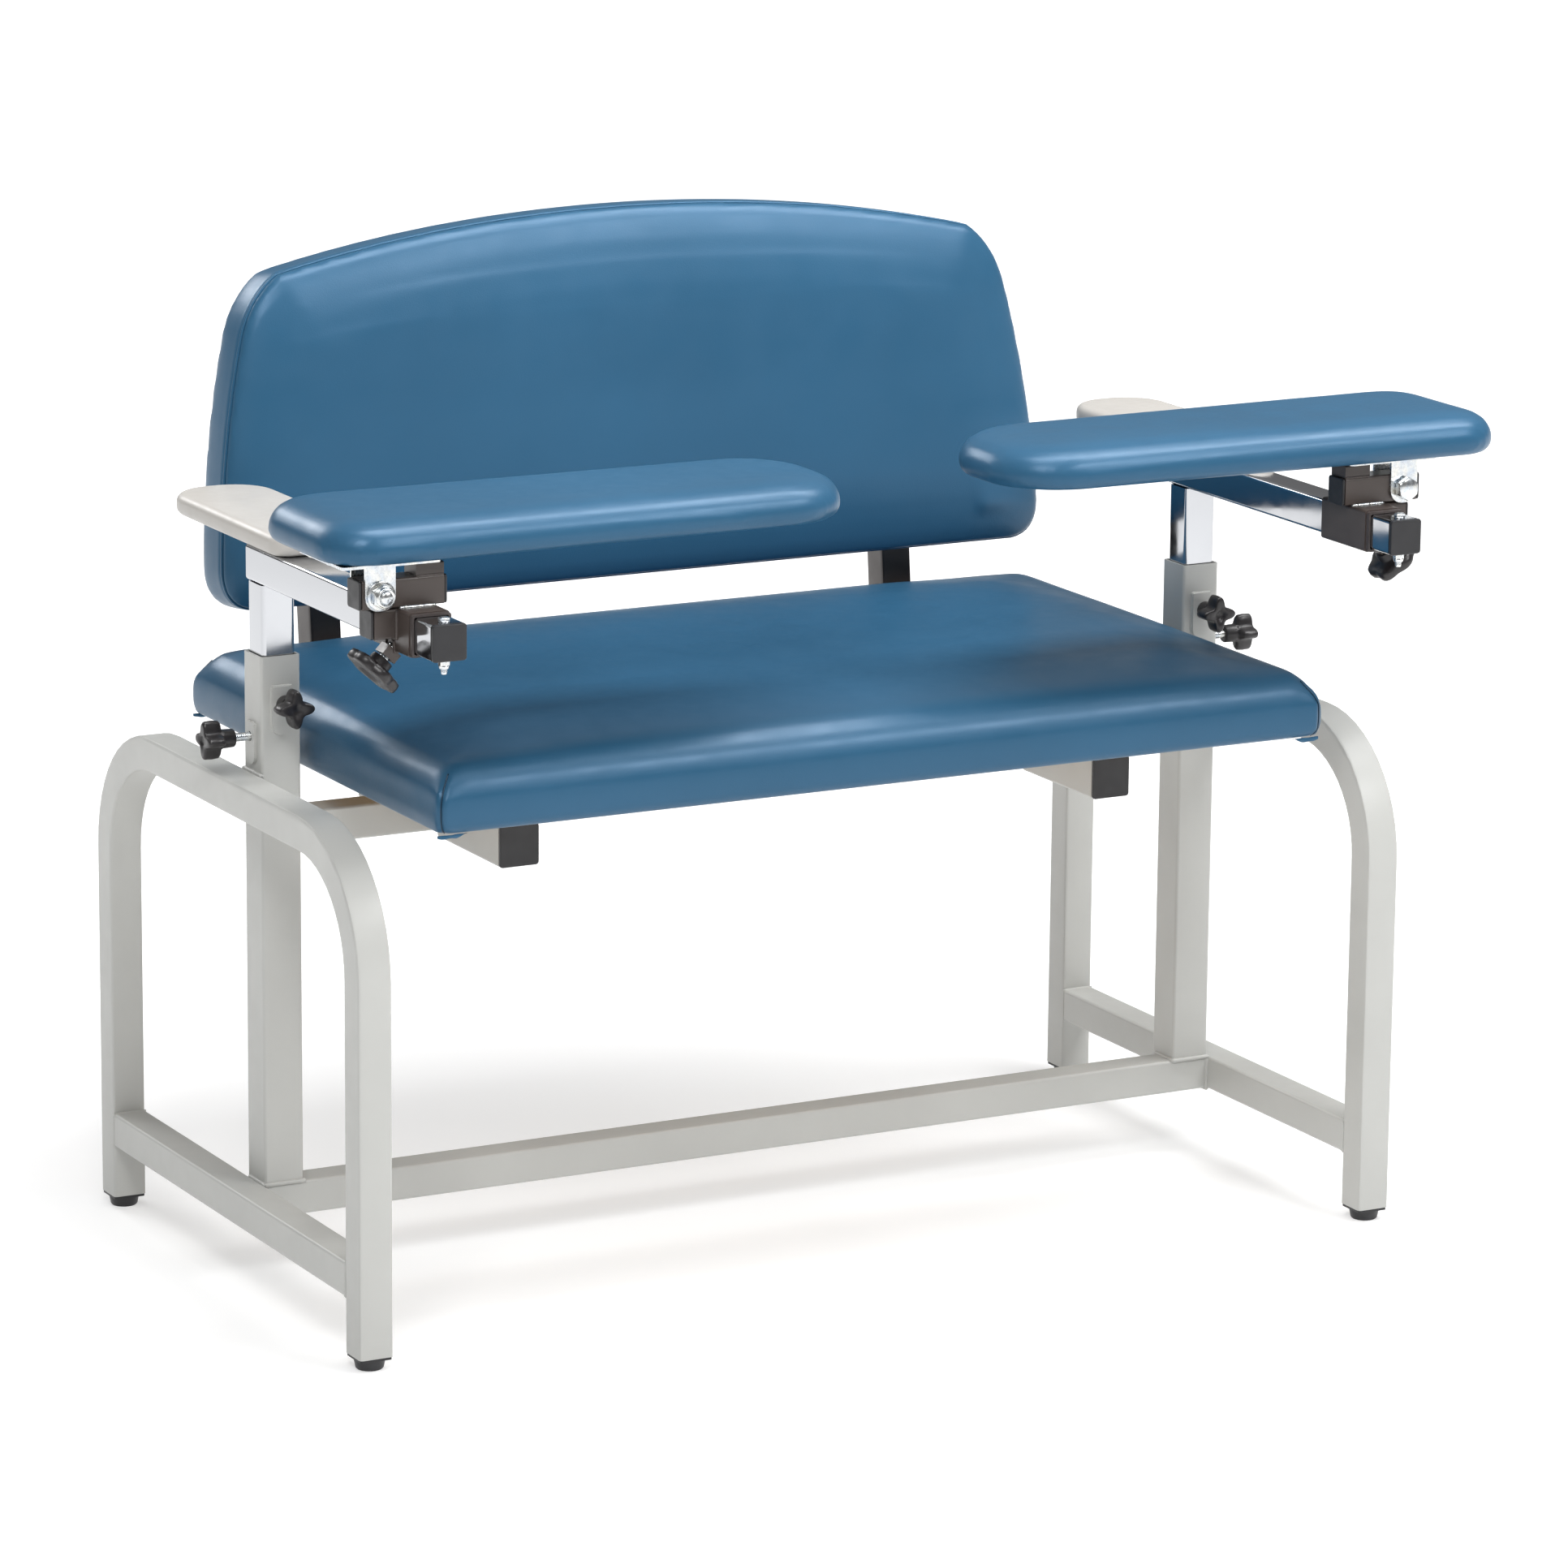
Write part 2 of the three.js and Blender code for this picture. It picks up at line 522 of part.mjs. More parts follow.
  // side caps: cover plus plug, facing outwards (or inwards for the far end of the hinge bar)
  const sideCap = (endX, out, zLow) => {
    const coverX = span(endX + out * GAP, endX + out * (GAP + 2.4));
    const plugX = span(endX - out * 8, endX + out * (GAP + 1));
    const plugHalf = stubBore - GAP;
    const cz = zLow + stubHalf;
    const cover = prism('x', centredRect(yc, cz, stubHalf - 1, stubHalf - 1, 2), ...coverX, 0.8, 2);
    return cover.add(prism('x', centredRect(yc, cz, plugHalf, plugHalf, 1, 1), ...plugX));
  };
  add(`stub_cap_${side}`, sideCap(s * STUB_END_X, s, stubZ), 'black');

  // hinge bar across the top of the sleeve, with a welded block that the plate comes down on
  const barZ = sleeveTop + GAP;
  const pivotZ = barZ + stubHalf;
  const barX = span(s * HINGE_BAR_IN_X, s * HINGE_BAR_OUT_X);
  const pivot = [s * HINGE_X, yc, pivotZ];
  const bar = prism('x', centredRect(yc, pivotZ, stubHalf, stubHalf, 2.5), ...barX);
  const barHollow = prism('x', centredRect(yc, pivotZ, stubBore, stubBore, 1, 1), barX[0] - 1, barX[1] + 1);
  const stopX = span(s * HINGE_BAR_IN_X, s * (HINGE_BAR_IN_X + 26));
  const stop = prism('x', roundedRect(yc - stubHalf + 1, barZ + STUB - 1, yc + stubHalf - 1,
    pivotZ + PLATE_LIFT - GAP, 1, 1), ...stopX);
  const barBore = rod(BOLT_R + 0.4, pivot, [0, 1, 0], -25, 25);
  add(`hinge_bar_${side}`, bar.subtract(barHollow).add(stop).subtract(barBore), 'brown');
  add(`hinge_bar_cap_in_${side}`, sideCap(s * HINGE_BAR_IN_X, -s, barZ), 'black');
  const capBore = rod(BOLT_R + 0.6, pivot, [0, 1, 0], -25, 25);
  add(`hinge_bar_cap_out_${side}`, sideCap(s * HINGE_BAR_OUT_X, s, barZ).subtract(capBore), 'black');

  // hinge bolt: the head faces forwards on the right arm, the nut on the left arm
  const headDir = [0, -s, 0];
  const nutDir = [0, s, 0];
  const halfStack = stubHalf + GAP + PLATE_T + GAP;
  const lockRing = [[0, 8], [8.8, 8], [8.8, 11], [7.6, 12.5], [0, 12.5]];
  const bolt = rod(BOLT_R, pivot, headDir, -halfStack - 14.5, halfStack + 2, 20)
    .add(hexPrism(19, pivot, headDir, halfStack, halfStack + 8))
    .add(rod(13, pivot, nutDir, halfStack, halfStack + 2, 20))
    .add(hexPrism(19, pivot, nutDir, halfStack + 1, halfStack + 9))
    .add(turned(lockRing.map(([r, d]) => [r, halfStack + d]), pivot, nutDir));
  add(`hinge_bolt_${side}`, bolt, 'zinc');

  // clamp knob of the sleeve, on the slanted nut
  const knob = rod(4.75, corner, slant, -4.5, 16)
    .add(turned([[0, 12], [9, 12], [10, 13], [10, 19], [0, 19]], corner, slant))
    .add(lobes(6, 24, 2, corner, slant, 17, 28, 3));
  add(`sleeve_knob_${side}`, knob, 'black');

  // pad bracket: two flanges astride the bar below a plate
  const flange = (yFrom) => {
    const x = s * HINGE_X;
    return prism('y', roundedRect(x - FLANGE_HALF_W, pivotZ - 13.5, x + FLANGE_HALF_W,
      pivotZ + PLATE_LIFT + 1, [12, 12, 0.5, 0.5], 5), yFrom, yFrom + PLATE_T);
  };
  const plateX = span(s * PLATE_IN_X, s * PLATE_OUT_X);
  const plateFrontY = yc - stubHalf - GAP - PLATE_T;
  const plate = prism('z', roundedRect(plateX[0], plateFrontY, plateX[1], yc + 75, 4),
    pivotZ + PLATE_LIFT, pivotZ + PLATE_LIFT + PLATE_T);
  const bracket = plate.add(flange(plateFrontY)).add(flange(yc + stubHalf + GAP)).subtract(barBore);
  add(`pad_bracket_${side}`, bracket, 'zinc');

  // arm pad: wider and squarer at its outer end, full round edge
  const padZ = pivotZ + PLATE_LIFT + PLATE_T + GAP;
  const e = PAD_EDGE_R;
  const padOutline = (inset, grow) => {
    const xo = arm.padOutX - inset + grow;
    const xi = arm.padOutX - PAD_LENGTH + inset - grow;
    const y0o = arm.padFrontY + inset - grow;
    const y1o = arm.padRearY - inset + grow;
    const rOut = 46 - inset + grow;
    const rIn = 70 - inset + grow;
    const points = [
      ...arc(xi + rIn, y0o + 6 + rIn, rIn, 180, 270, 6),
      ...arc(xo - rOut, y0o + rOut, rOut, 270, 360, 6),
      ...arc(xo - rOut, y1o - rOut, rOut, 0, 90, 6),
      ...arc(xi + rIn, y1o - 6 - rIn, rIn, 90, 180, 6),
    ];
    return s > 0 ? points : points.map((p) => new THREE.Vector2(-p.x, p.y)).reverse();
  };
  const pad = prism('z', padOutline(e, 0), padZ, padZ + PAD_T, e, 4)
    .subtract(prism('z', padOutline(26, GAP), padZ - 5, padZ + PAD_BOARD_T + GAP));
  add(`arm_pad_${side}`, pad, 'vinyl');
  add(`pad_board_${side}`, prism('z', padOutline(26, 0), padZ, padZ + PAD_BOARD_T), 'plywood');
}

// ---------- move to the shared origin: bottom centre of the whole chair ----------
const box = new THREE.Box3().setFromObject(chair);
for (const mesh of chair.children) {
  mesh.geometry.translate(-(box.min.x + box.max.x) / 2, -(box.min.y + box.max.y) / 2, -box.min.z);
}

export default chair;
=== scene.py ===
"""Looks of an extra-wide blood-drawing chair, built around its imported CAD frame.

Lengths are metres in the frame's own axes: +X to the right seen from the front, the chair faces -Y,
+Z up. "Out" for a side is away from the chair's middle: -1 on the left, +1 on the right.
"""

import math

import bpy
import numpy as np
from mathutils import Matrix, Vector, noise
from mathutils.bvhtree import BVHTree


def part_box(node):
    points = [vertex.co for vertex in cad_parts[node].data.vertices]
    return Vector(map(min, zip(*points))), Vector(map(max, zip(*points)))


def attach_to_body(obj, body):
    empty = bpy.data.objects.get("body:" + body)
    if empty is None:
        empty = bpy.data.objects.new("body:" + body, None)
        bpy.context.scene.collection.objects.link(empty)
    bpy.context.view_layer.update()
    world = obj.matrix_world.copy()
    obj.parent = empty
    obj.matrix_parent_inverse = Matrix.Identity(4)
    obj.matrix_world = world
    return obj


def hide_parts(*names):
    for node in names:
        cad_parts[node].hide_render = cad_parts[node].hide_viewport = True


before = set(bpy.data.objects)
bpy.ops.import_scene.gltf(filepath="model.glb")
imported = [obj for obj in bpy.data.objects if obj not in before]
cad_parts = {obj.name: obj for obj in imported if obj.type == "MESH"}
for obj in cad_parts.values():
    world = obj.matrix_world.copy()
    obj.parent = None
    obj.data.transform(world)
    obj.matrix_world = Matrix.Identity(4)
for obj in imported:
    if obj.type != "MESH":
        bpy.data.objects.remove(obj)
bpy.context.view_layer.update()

MM = 0.001
SIDES = {"left": -1, "right": 1}
LEAN = math.radians(5.7)
FLOOR_TO_LEG = 12 * MM
POST_FRONT_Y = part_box("lower_cross_bar")[0].y
CENTRE_X = sum(corner.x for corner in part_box("seat_cushion")) / 2
BACK_PIVOT = Vector((CENTRE_X, POST_FRONT_Y + 222.9 * MM, 600 * MM + FLOOR_TO_LEG))
POST_WIDTH = 38.1 * MM
SLEEVE_HALF = 19.05 * MM
SIM_FRAMES = 20
TAUT_ROUNDS = 70
scene = bpy.context.scene


# ---------------------------------------------------------------- materials
def new_material(name, color, rough, metal=0.0):
    """A principled material; returns it with its node tree, shader and object coordinates."""
    mat = bpy.data.materials.new(name)
    mat.use_nodes = True
    tree = mat.node_tree
    shader = tree.nodes["Principled BSDF"]
    shader.inputs["Base Color"].default_value = (*color, 1)
    shader.inputs["Roughness"].default_value = rough
    shader.inputs["Metallic"].default_value = metal
    coords = tree.nodes.new("ShaderNodeTexCoord").outputs["Object"]
    return mat, tree, shader, coords


def noise_node(tree, coords, scale, detail=2.0, stretch=None):
    """Noise of the given scale per metre, stretched along axes if asked."""
    if stretch:
        mapping = tree.nodes.new("ShaderNodeMapping")
        mapping.inputs["Scale"].default_value = stretch
        tree.links.new(coords, mapping.inputs["Vector"])
        coords = mapping.outputs["Vector"]
    node = tree.nodes.new("ShaderNodeTexNoise")
    node.inputs["Scale"].default_value = scale
    node.inputs["Detail"].default_value = detail
    tree.links.new(coords, node.inputs["Vector"])
    return node.outputs["Fac"]


def ramp(tree, value, low, high, low_at=0.3, high_at=0.7):
    """Maps a noise value onto two colours."""
    node = tree.nodes.new("ShaderNodeValToRGB")
    node.color_ramp.elements[0].position = low_at
    node.color_ramp.elements[0].color = (*low, 1)
    node.color_ramp.elements[1].position = high_at
    node.color_ramp.elements[1].color = (*high, 1)
    tree.links.new(value, node.inputs["Fac"])
    return node.outputs["Color"]


def vary_color(tree, shader, value, color, amount):
    low = [c * (1 - amount) for c in color]
    high = [min(1, c * (1 + amount)) for c in color]
    tree.links.new(ramp(tree, value, low, high), shader.inputs["Base Color"])


def vary_rough(tree, shader, value, low, high):
    node = tree.nodes.new("ShaderNodeMapRange")
    node.inputs["From Min"].default_value = 0.3
    node.inputs["From Max"].default_value = 0.7
    node.inputs["To Min"].default_value = low
    node.inputs["To Max"].default_value = high
    tree.links.new(value, node.inputs["Value"])
    tree.links.new(node.outputs["Result"], shader.inputs["Roughness"])


def add_bump(tree, shader, value, depth, strength=1.0, below=None):
    """Bump of the given depth in metres; `below` is an earlier bump that this one sits on."""
    node = tree.nodes.new("ShaderNodeBump")
    node.inputs["Strength"].default_value = strength
    node.inputs["Distance"].default_value = depth
    tree.links.new(value, node.inputs["Height"])
    if below:
        tree.links.new(below, node.inputs["Normal"])
    tree.links.new(node.outputs["Normal"], shader.inputs["Normal"])
    return node.outputs["Normal"]


def powder_coat(name, color, rough, peel, depth):
    """Baked powder paint: orange-peel bump, slight change of tone and gloss."""
    mat, tree, shader, coords = new_material(name, color, rough)
    vary_color(tree, shader, noise_node(tree, coords, 9, 3), color, 0.035)
    vary_rough(tree, shader, noise_node(tree, coords, 60, 3), rough - 0.05, rough + 0.05)
    broad = add_bump(tree, shader, noise_node(tree, coords, 45, 1), 0.00012, 0.5)
    add_bump(tree, shader, noise_node(tree, coords, peel, 2), depth, 0.6, broad)
    return mat


def polished_chrome():
    mat, tree, shader, coords = new_material("chrome_plate", (0.50, 0.51, 0.53), 0.09, 1.0)
    vary_rough(tree, shader, noise_node(tree, coords, 35, 4), 0.05, 0.12)
    wave = add_bump(tree, shader, noise_node(tree, coords, 22, 1), 0.00025, 0.35)
    add_bump(tree, shader, noise_node(tree, coords, 500, 2, (1, 0.04, 0.04)), 0.00001, 0.3, wave)
    return mat


def zinc_plate():
    color = (0.66, 0.68, 0.70)
    mat, tree, shader, coords = new_material("zinc_plate", color, 0.25, 1.0)
    tone = noise_node(tree, coords, 120, 3)
    tree.links.new(ramp(tree, tone, (0.55, 0.60, 0.66), (0.78, 0.77, 0.72)), shader.inputs["Base Color"])
    vary_rough(tree, shader, noise_node(tree, coords, 300, 3), 0.16, 0.34)
    add_bump(tree, shader, noise_node(tree, coords, 900, 2), 0.00003, 0.5)
    return mat


def vinyl(name, color):
    """Coated upholstery fabric: fine pebble grain on a smooth skin."""
    mat, tree, shader, coords = new_material(name, color, 0.34)
    vary_color(tree, shader, noise_node(tree, coords, 5, 4), color, 0.06)
    vary_rough(tree, shader, noise_node(tree, coords, 30, 3), 0.30, 0.39)
    shader.inputs["Specular IOR Level"].default_value = 0.5
    shader.inputs["Specular Tint"].default_value = (0.55, 0.75, 1.0, 1)
    broad = add_bump(tree, shader, noise_node(tree, coords, 14, 2), 0.0009, 0.25)
    cells = tree.nodes.new("ShaderNodeTexVoronoi")
    cells.inputs["Scale"].default_value = 820
    cells.feature = "SMOOTH_F1"
    cells.inputs["Smoothness"].default_value = 0.6
    tree.links.new(coords, cells.inputs["Vector"])
    add_bump(tree, shader, cells.outputs["Distance"], 0.00012, 0.35, broad)
    return mat


def moulded_plastic(name, color, rough):
    mat, tree, shader, coords = new_material(name, color, rough)
    vary_color(tree, shader, noise_node(tree, coords, 40, 3), color, 0.15)
    vary_rough(tree, shader, noise_node(tree, coords, 90, 3), rough - 0.07, rough + 0.07)
    add_bump(tree, shader, noise_node(tree, coords, 1500, 1), 0.00005, 0.5)
    return mat


def laminate_board():
    color = (0.43, 0.412, 0.385)
    mat, tree, shader, coords = new_material("board_skin", color, 0.38)
    vary_color(tree, shader, noise_node(tree, coords, 25, 4), color, 0.02)
    vary_rough(tree, shader, noise_node(tree, coords, 80, 3), 0.33, 0.45)
    add_bump(tree, shader, noise_node(tree, coords, 700, 2), 0.00003, 0.5)
    return mat


def plywood():
    mat, tree, shader, coords = new_material("plywood", (0.45, 0.29, 0.16), 0.75)
    grain = noise_node(tree, coords, 60, 5, (0.08, 1, 1))
    tree.links.new(ramp(tree, grain, (0.30, 0.18, 0.09), (0.56, 0.39, 0.22)), shader.inputs["Base Color"])
    add_bump(tree, shader, grain, 0.0003, 0.5)
    return mat


FRAME_RGB = (0.465, 0.468, 0.448)
BROWN_RGB = (0.055, 0.043, 0.038)
VINYL_RGB = (0.021, 0.082, 0.152)
paint = powder_coat("frame_powder_coat", FRAME_RGB, 0.40, 700, 0.00004)
brown = powder_coat("brown_powder_coat", BROWN_RGB, 0.34, 900, 0.00006)
chrome = polished_chrome()
zinc = zinc_plate()
blue_vinyl = vinyl("blue_vinyl", VINYL_RGB)
# Darkened vinyl for thin seam lines: painted shade along a sewn groove.
seam_shade_vinyl = vinyl("seam_shadow", tuple(c * 0.25 for c in VINYL_RGB))
black_plastic = moulded_plastic("black_plastic", (0.014, 0.014, 0.016), 0.42)
knob_plastic = moulded_plastic("knob_plastic", (0.016, 0.014, 0.015), 0.36)
liner_plastic = moulded_plastic("liner_plastic", (0.045, 0.036, 0.034), 0.4)
back_cover = moulded_plastic("back_cover", (0.02, 0.021, 0.024), 0.55)
board_skin = laminate_board()
wood = plywood()

# ---------------------------------------------------------------- CAD nodes that stay
MATERIAL_OF_NODE = {
    "side_frame": paint, "side_rail": paint, "lower_cross_bar": paint, "post": paint, "seat_cross_bar": paint,
    "seat_rail_front": paint, "seat_rail_rear": paint, "seat_rail_cap": black_plastic,
    "foot_front": black_plastic,
    "foot_rear": black_plastic, "back_bracket": brown, "seat_board": wood, "pad_board": back_cover,
    "back_board": back_cover, "arm_inner_post": chrome, "arm_tube": chrome, "arm_tube_cap": black_plastic,
    "sleeve": brown, "sleeve_liner": liner_plastic, "stub_cap": black_plastic, "hinge_bar": brown,
    "hinge_bar_cap_in": black_plastic, "hinge_bar_cap_out": black_plastic, "pad_bracket": zinc,
}


def dress_cad_node(name, mat):
    """Gives a CAD node its material and smooth rounded edges, without touching its mesh points."""
    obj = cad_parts[name]
    obj.data.materials.clear()
    obj.data.materials.append(mat)
    obj.data.polygons.foreach_set("use_smooth", [True] * len(obj.data.polygons))
    join = obj.modifiers.new("join_points", "WELD")
    join.merge_threshold = 0.000005
    split = obj.modifiers.new("keep_edges", "EDGE_SPLIT")
    split.split_angle = math.radians(38)
    normals = obj.modifiers.new("flat_faces", "WEIGHTED_NORMAL")
    normals.keep_sharp = True
    normals.weight = 80


for node_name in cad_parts:
    kind = node_name.rsplit("_", 1)[0] if node_name.endswith(("_left", "_right")) else node_name
    if kind in MATERIAL_OF_NODE:
        dress_cad_node(node_name, MATERIAL_OF_NODE[kind])


# ---------------------------------------------------------------- mesh helpers
def make_object(name, verts, faces, mat, smooth=True):
    mesh = bpy.data.meshes.new(name)
    mesh.from_pydata([tuple(v) for v in verts], [], faces)
    mesh.validate()
    mesh.materials.append(mat)
    mesh.polygons.foreach_set("use_smooth", [smooth] * len(mesh.polygons))
    obj = bpy.data.objects.new(name, mesh)
    scene.collection.objects.link(obj)
    return obj


def attach(obj, body):
    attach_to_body(obj, body)
    return obj


def stack_rings(rings, cap_start=True, cap_end=True):
    """Vertices and faces of a skin through equal-length closed rings."""
    n = len(rings[0])
    verts = [p for ring in rings for p in ring]
    faces = []
    for i in range(len(rings) - 1):
        a, b = i * n, (i + 1) * n
        faces += [(a + k, a + (k + 1) % n, b + (k + 1) % n, b + k) for k in range(n)]
    if cap_start:
        faces.append(tuple(reversed(range(n))))
    if cap_end:
        faces.append(tuple(range((len(rings) - 1) * n, len(rings) * n)))
    return verts, faces


def shift_faces(parts):
    """Joins several (verts, faces) into one."""
    verts, faces = [], []
    for v, f in parts:
        base = len(verts)
        verts += list(v)
        faces += [tuple(i + base for i in face) for face in f]
    return verts, faces


def basis(direction):
    """Two unit vectors square to a direction, so that (a, b, direction) is right-handed."""
    d = Vector(direction).normalized()
    helper = Vector((0, 0, 1)) if abs(d.z) < 0.9 else Vector((0, 1, 0))
    a = helper.cross(d).normalized()
    return a, d.cross(a), d


def around(base, direction, levels, radius, count):
    """Rings round a line: levels are distances along it, radius(angle, i) the radius at level i."""
    a, b, d = basis(direction)
    base = Vector(base)
    rings = []
    for i, z in enumerate(levels):
        ring = []
        for k in range(count):
            t = 2 * math.pi * k / count
            r = radius(t, i)
            ring.append(base + d * z + a * (r * math.cos(t)) + b * (r * math.sin(t)))
        rings.append(ring)
    return rings


def revolve(base, direction, profile, count=40):
    """Closed solid turned round a line from [(radius, distance), ...]."""
    return stack_rings(around(base, direction, [z for _, z in profile], lambda t, i: profile[i][0], count))


def hex_solid(base, direction, flats, start, end, chamfer_start=False, chamfer_end=True):
    """Hexagon bar with the curved corner chamfers of a machined nut or bolt head."""
    height = end - start
    bite = flats * 0.085
    steps = [0.0, 0.25, 0.5, 0.75, 1.0]
    levels = []
    if chamfer_start:
        levels += [start + bite * s for s in steps[:-1]]
    else:
        levels.append(start)
    levels += [start + bite if chamfer_start else start + height * 0.3]
    if chamfer_end:
        levels += [end - bite * (1 - s) for s in steps]
    else:
        levels.append(end)

    def radius(t, i):
        flat_angle = (t + math.pi / 6) % (math.pi / 3) - math.pi / 6
        r = flats / 2 / math.cos(flat_angle)
        z = levels[i]
        if chamfer_end:
            r = min(r, flats * 0.485 + (end - z) * 1.25)
        if chamfer_start:
            r = min(r, flats * 0.485 + (z - start) * 1.25)
        return r

    return stack_rings(around(base, direction, levels, radius, 72))


def thread(base, direction, r, start, end, pitch=1.5 * MM, count=24):
    """Threaded rod with a chamfered end at `end`."""
    profile = [(r * 0.85, start)]
    z = start
    while z + pitch < end - pitch * 0.8:
        profile += [(r * 0.87, z + pitch * 0.1), (r, z + pitch * 0.5), (r * 0.87, z + pitch * 0.95)]
        z += pitch
    profile += [(r * 0.9, end - pitch * 0.6), (r * 0.72, end)]
    return revolve(base, direction, profile, count)


def washer(base, direction, r_out, r_in, start, end):
    e = min(0.3 * MM, (end - start) / 3)
    profile = [(r_in, start), (r_out - e, start), (r_out, start + e),
               (r_out, end - e), (r_out - e, end), (r_in, end)]
    rings = around(base, direction, [z for _, z in profile], lambda t, i: profile[i][0], 40)
    return stack_rings(rings + [rings[0]], False, False)


def pan_screw(base, direction, r, height):
    """Low round screw head with a recess, standing off a face."""
    profile = [(r, 0), (r, height * 0.25), (r * 0.93, height * 0.6), (r * 0.72, height * 0.9),
               (r * 0.45, height), (r * 0.42, height * 0.98), (r * 0.3, height * 0.55),
               (r * 0.05, height * 0.45)]
    return revolve(base, direction, profile, 28)


# ---------------------------------------------------------------- weld beads
def weld_line(points, r, closed=False, seed=0.0):
    """A fillet bead with overlapping ripples along a line of corner points."""
    pts = [Vector(p) for p in points]
    if closed:
        pts.append(pts[0])
    step = 0.9 * MM
    stations = []
    for a, b in zip(pts, pts[1:]):
        count = max(2, int((b - a).length / step))
        steps = count + (1 if b is pts[-1] else 0)
        stations += [(a.lerp(b, i / count), (b - a).normalized()) for i in range(steps)]
    rings = []
    for i, (p, tangent) in enumerate(stations):
        before, after = stations[max(0, i - 2)][1], stations[min(len(stations) - 1, i + 2)][1]
        direction = (before + after + tangent * 0.001).normalized()
        u, v, _ = basis(direction)
        ripple = 1 + 0.10 * abs(math.sin(i * 0.95)) + 0.16 * noise.noise(p * 260 + Vector((seed, 0, 0)))
        end = min(i, len(stations) - 1 - i)
        size = r * ripple * (1 if closed else min(1, 0.45 + 0.3 * end))
        rings.append([p + u * (size * math.cos(k * math.pi / 4)) + v * (size * math.sin(k * math.pi / 4))
                      for k in range(8)])
    if closed:
        return stack_rings(rings + [rings[0]], False, False)
    return stack_rings(rings)


def rect(axis, at, a0, a1, b0, b1):
    """Corner points of a rectangle square to an axis; a and b are the other two axes in order."""
    make = {"x": lambda a, b: (at, a, b), "y": lambda a, b: (a, at, b), "z": lambda a, b: (a, b, at)}[axis]
    return [make(a0, b0), make(a1, b0), make(a1, b1), make(a0, b1)]


def cad(name):
    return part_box(name)


frame_welds = []


def frame_bead(points, radius, closed, seed):
    """One more weld bead on the fixed frame."""
    frame_welds.append(weld_line(points, radius, closed, seed))


for side, out in SIDES.items():
    rail_lo, rail_hi = cad(f"side_rail_{side}")
    post_lo, post_hi = cad(f"post_{side}")
    frame_top = cad(f"side_frame_{side}")[1].z
    bar_lo, bar_hi = cad("lower_cross_bar")
    seat_lo, seat_hi = cad("seat_cross_bar")
    inset = 0.8 * MM
    for y in (rail_lo.y, rail_hi.y):
        frame_bead(rect("y", y, rail_lo.x + inset, rail_hi.x - inset, rail_lo.z + inset, rail_hi.z - inset),
                   1.5 * MM, True, y * 90)
    x_in = rail_lo.x if out > 0 else rail_hi.x
    frame_bead(rect("x", x_in, bar_lo.y, bar_hi.y, bar_lo.z, bar_hi.z), 2.0 * MM, True, out)
    tube = bar_hi.y - bar_lo.y
    post_in = post_lo.x if out > 0 else post_hi.x
    post_out = post_in + out * POST_WIDTH
    y0 = bar_lo.y
    frame_bead(rect("z", bar_hi.z, min(post_in, post_out), max(post_in, post_out), y0, y0 + tube),
               2.0 * MM, True, 3 + out)
    frame_bead(rect("x", post_out, y0, y0 + POST_WIDTH, frame_top - tube, frame_top), 2.3 * MM, True, 7 + out)
    frame_bead(rect("x", post_in, seat_lo.y, seat_hi.y, seat_lo.z, seat_hi.z), 2.0 * MM, True, 9)
    x = post_in + out * POST_WIDTH / 2
    knob_lo, knob_hi = cad(f"post_knob_front_{side}")
    knob_z = (knob_lo.z + knob_hi.z) / 2
    plate = [(x + 9.4 * MM * math.sin(t), y0, knob_z - 18.5 * MM - 9.4 * MM * math.cos(t))
             for t in np.linspace(-1.5, 1.5, 9)]
    plate = [(x - 9.4 * MM, y0, knob_z + 15 * MM)] + plate + [(x + 9.4 * MM, y0, knob_z + 15 * MM)]
    frame_bead(plate, 1.1 * MM, True, 13 + out)
    rf_lo, rf_hi = cad(f"seat_rail_front_{side}")
    for y in (seat_lo.y, seat_hi.y):
        frame_bead(rect("y", y, rf_lo.x, rf_hi.x, seat_lo.z, seat_hi.z), 1.8 * MM, True, 15 + y)
    br_lo, br_hi = cad(f"back_bracket_{side}")
    for x in (br_lo.x, br_hi.x):
        for ya in (br_lo.y + 12 * MM, seat_hi.y + 20 * MM, seat_hi.y + 100 * MM):
            frame_bead([(x, ya, rf_hi.z), (x, ya + 25 * MM, rf_hi.z)], 1.8 * MM, False, ya * 50)
verts, faces = shift_faces(frame_welds)
attach(make_object("frame_welds", verts, faces, paint), "frame")


# ---------------------------------------------------------------- knobs
def lobed_grip(base, direction, lobes, r_core, r_lobe, sharp, start, end, neck_r, dish):
    """Hand grip: rounded lobes round a core, flaring from a neck, with a shallow dish in its face."""
    thick = end - start
    e = thick * 0.14
    rows = [(start - thick * 0.75, 0.0, neck_r * 0.93), (start - thick * 0.70, 0.0, neck_r),
            (start - thick * 0.12, 0.0, neck_r * 1.05), (start, 0.35, neck_r * 1.12),
            (start + e * 0.25, 0.86, 0), (start + e, 0.97, 0), (start + thick * 0.5, 1.0, 0),
            (end - e, 0.98, 0), (end - e * 0.45, 0.955, 0), (end - e * 0.1, 0.88, 0), (end, 0.78, 0),
            (end + dish * 0.1, 0.5, 0), (end - dish, 0.42, 0), (end - dish, 0.05, 0)]

    def radius(t, i):
        _, share, least = rows[i]
        wave = (0.5 + 0.5 * math.cos(lobes * t)) ** sharp
        full = r_core + (r_lobe - r_core) * wave
        if i >= len(rows) - 3:
            full = r_core
        return max(full * share, least)

    return stack_rings(around(base, direction, [row[0] for row in rows], radius, lobes * 24))


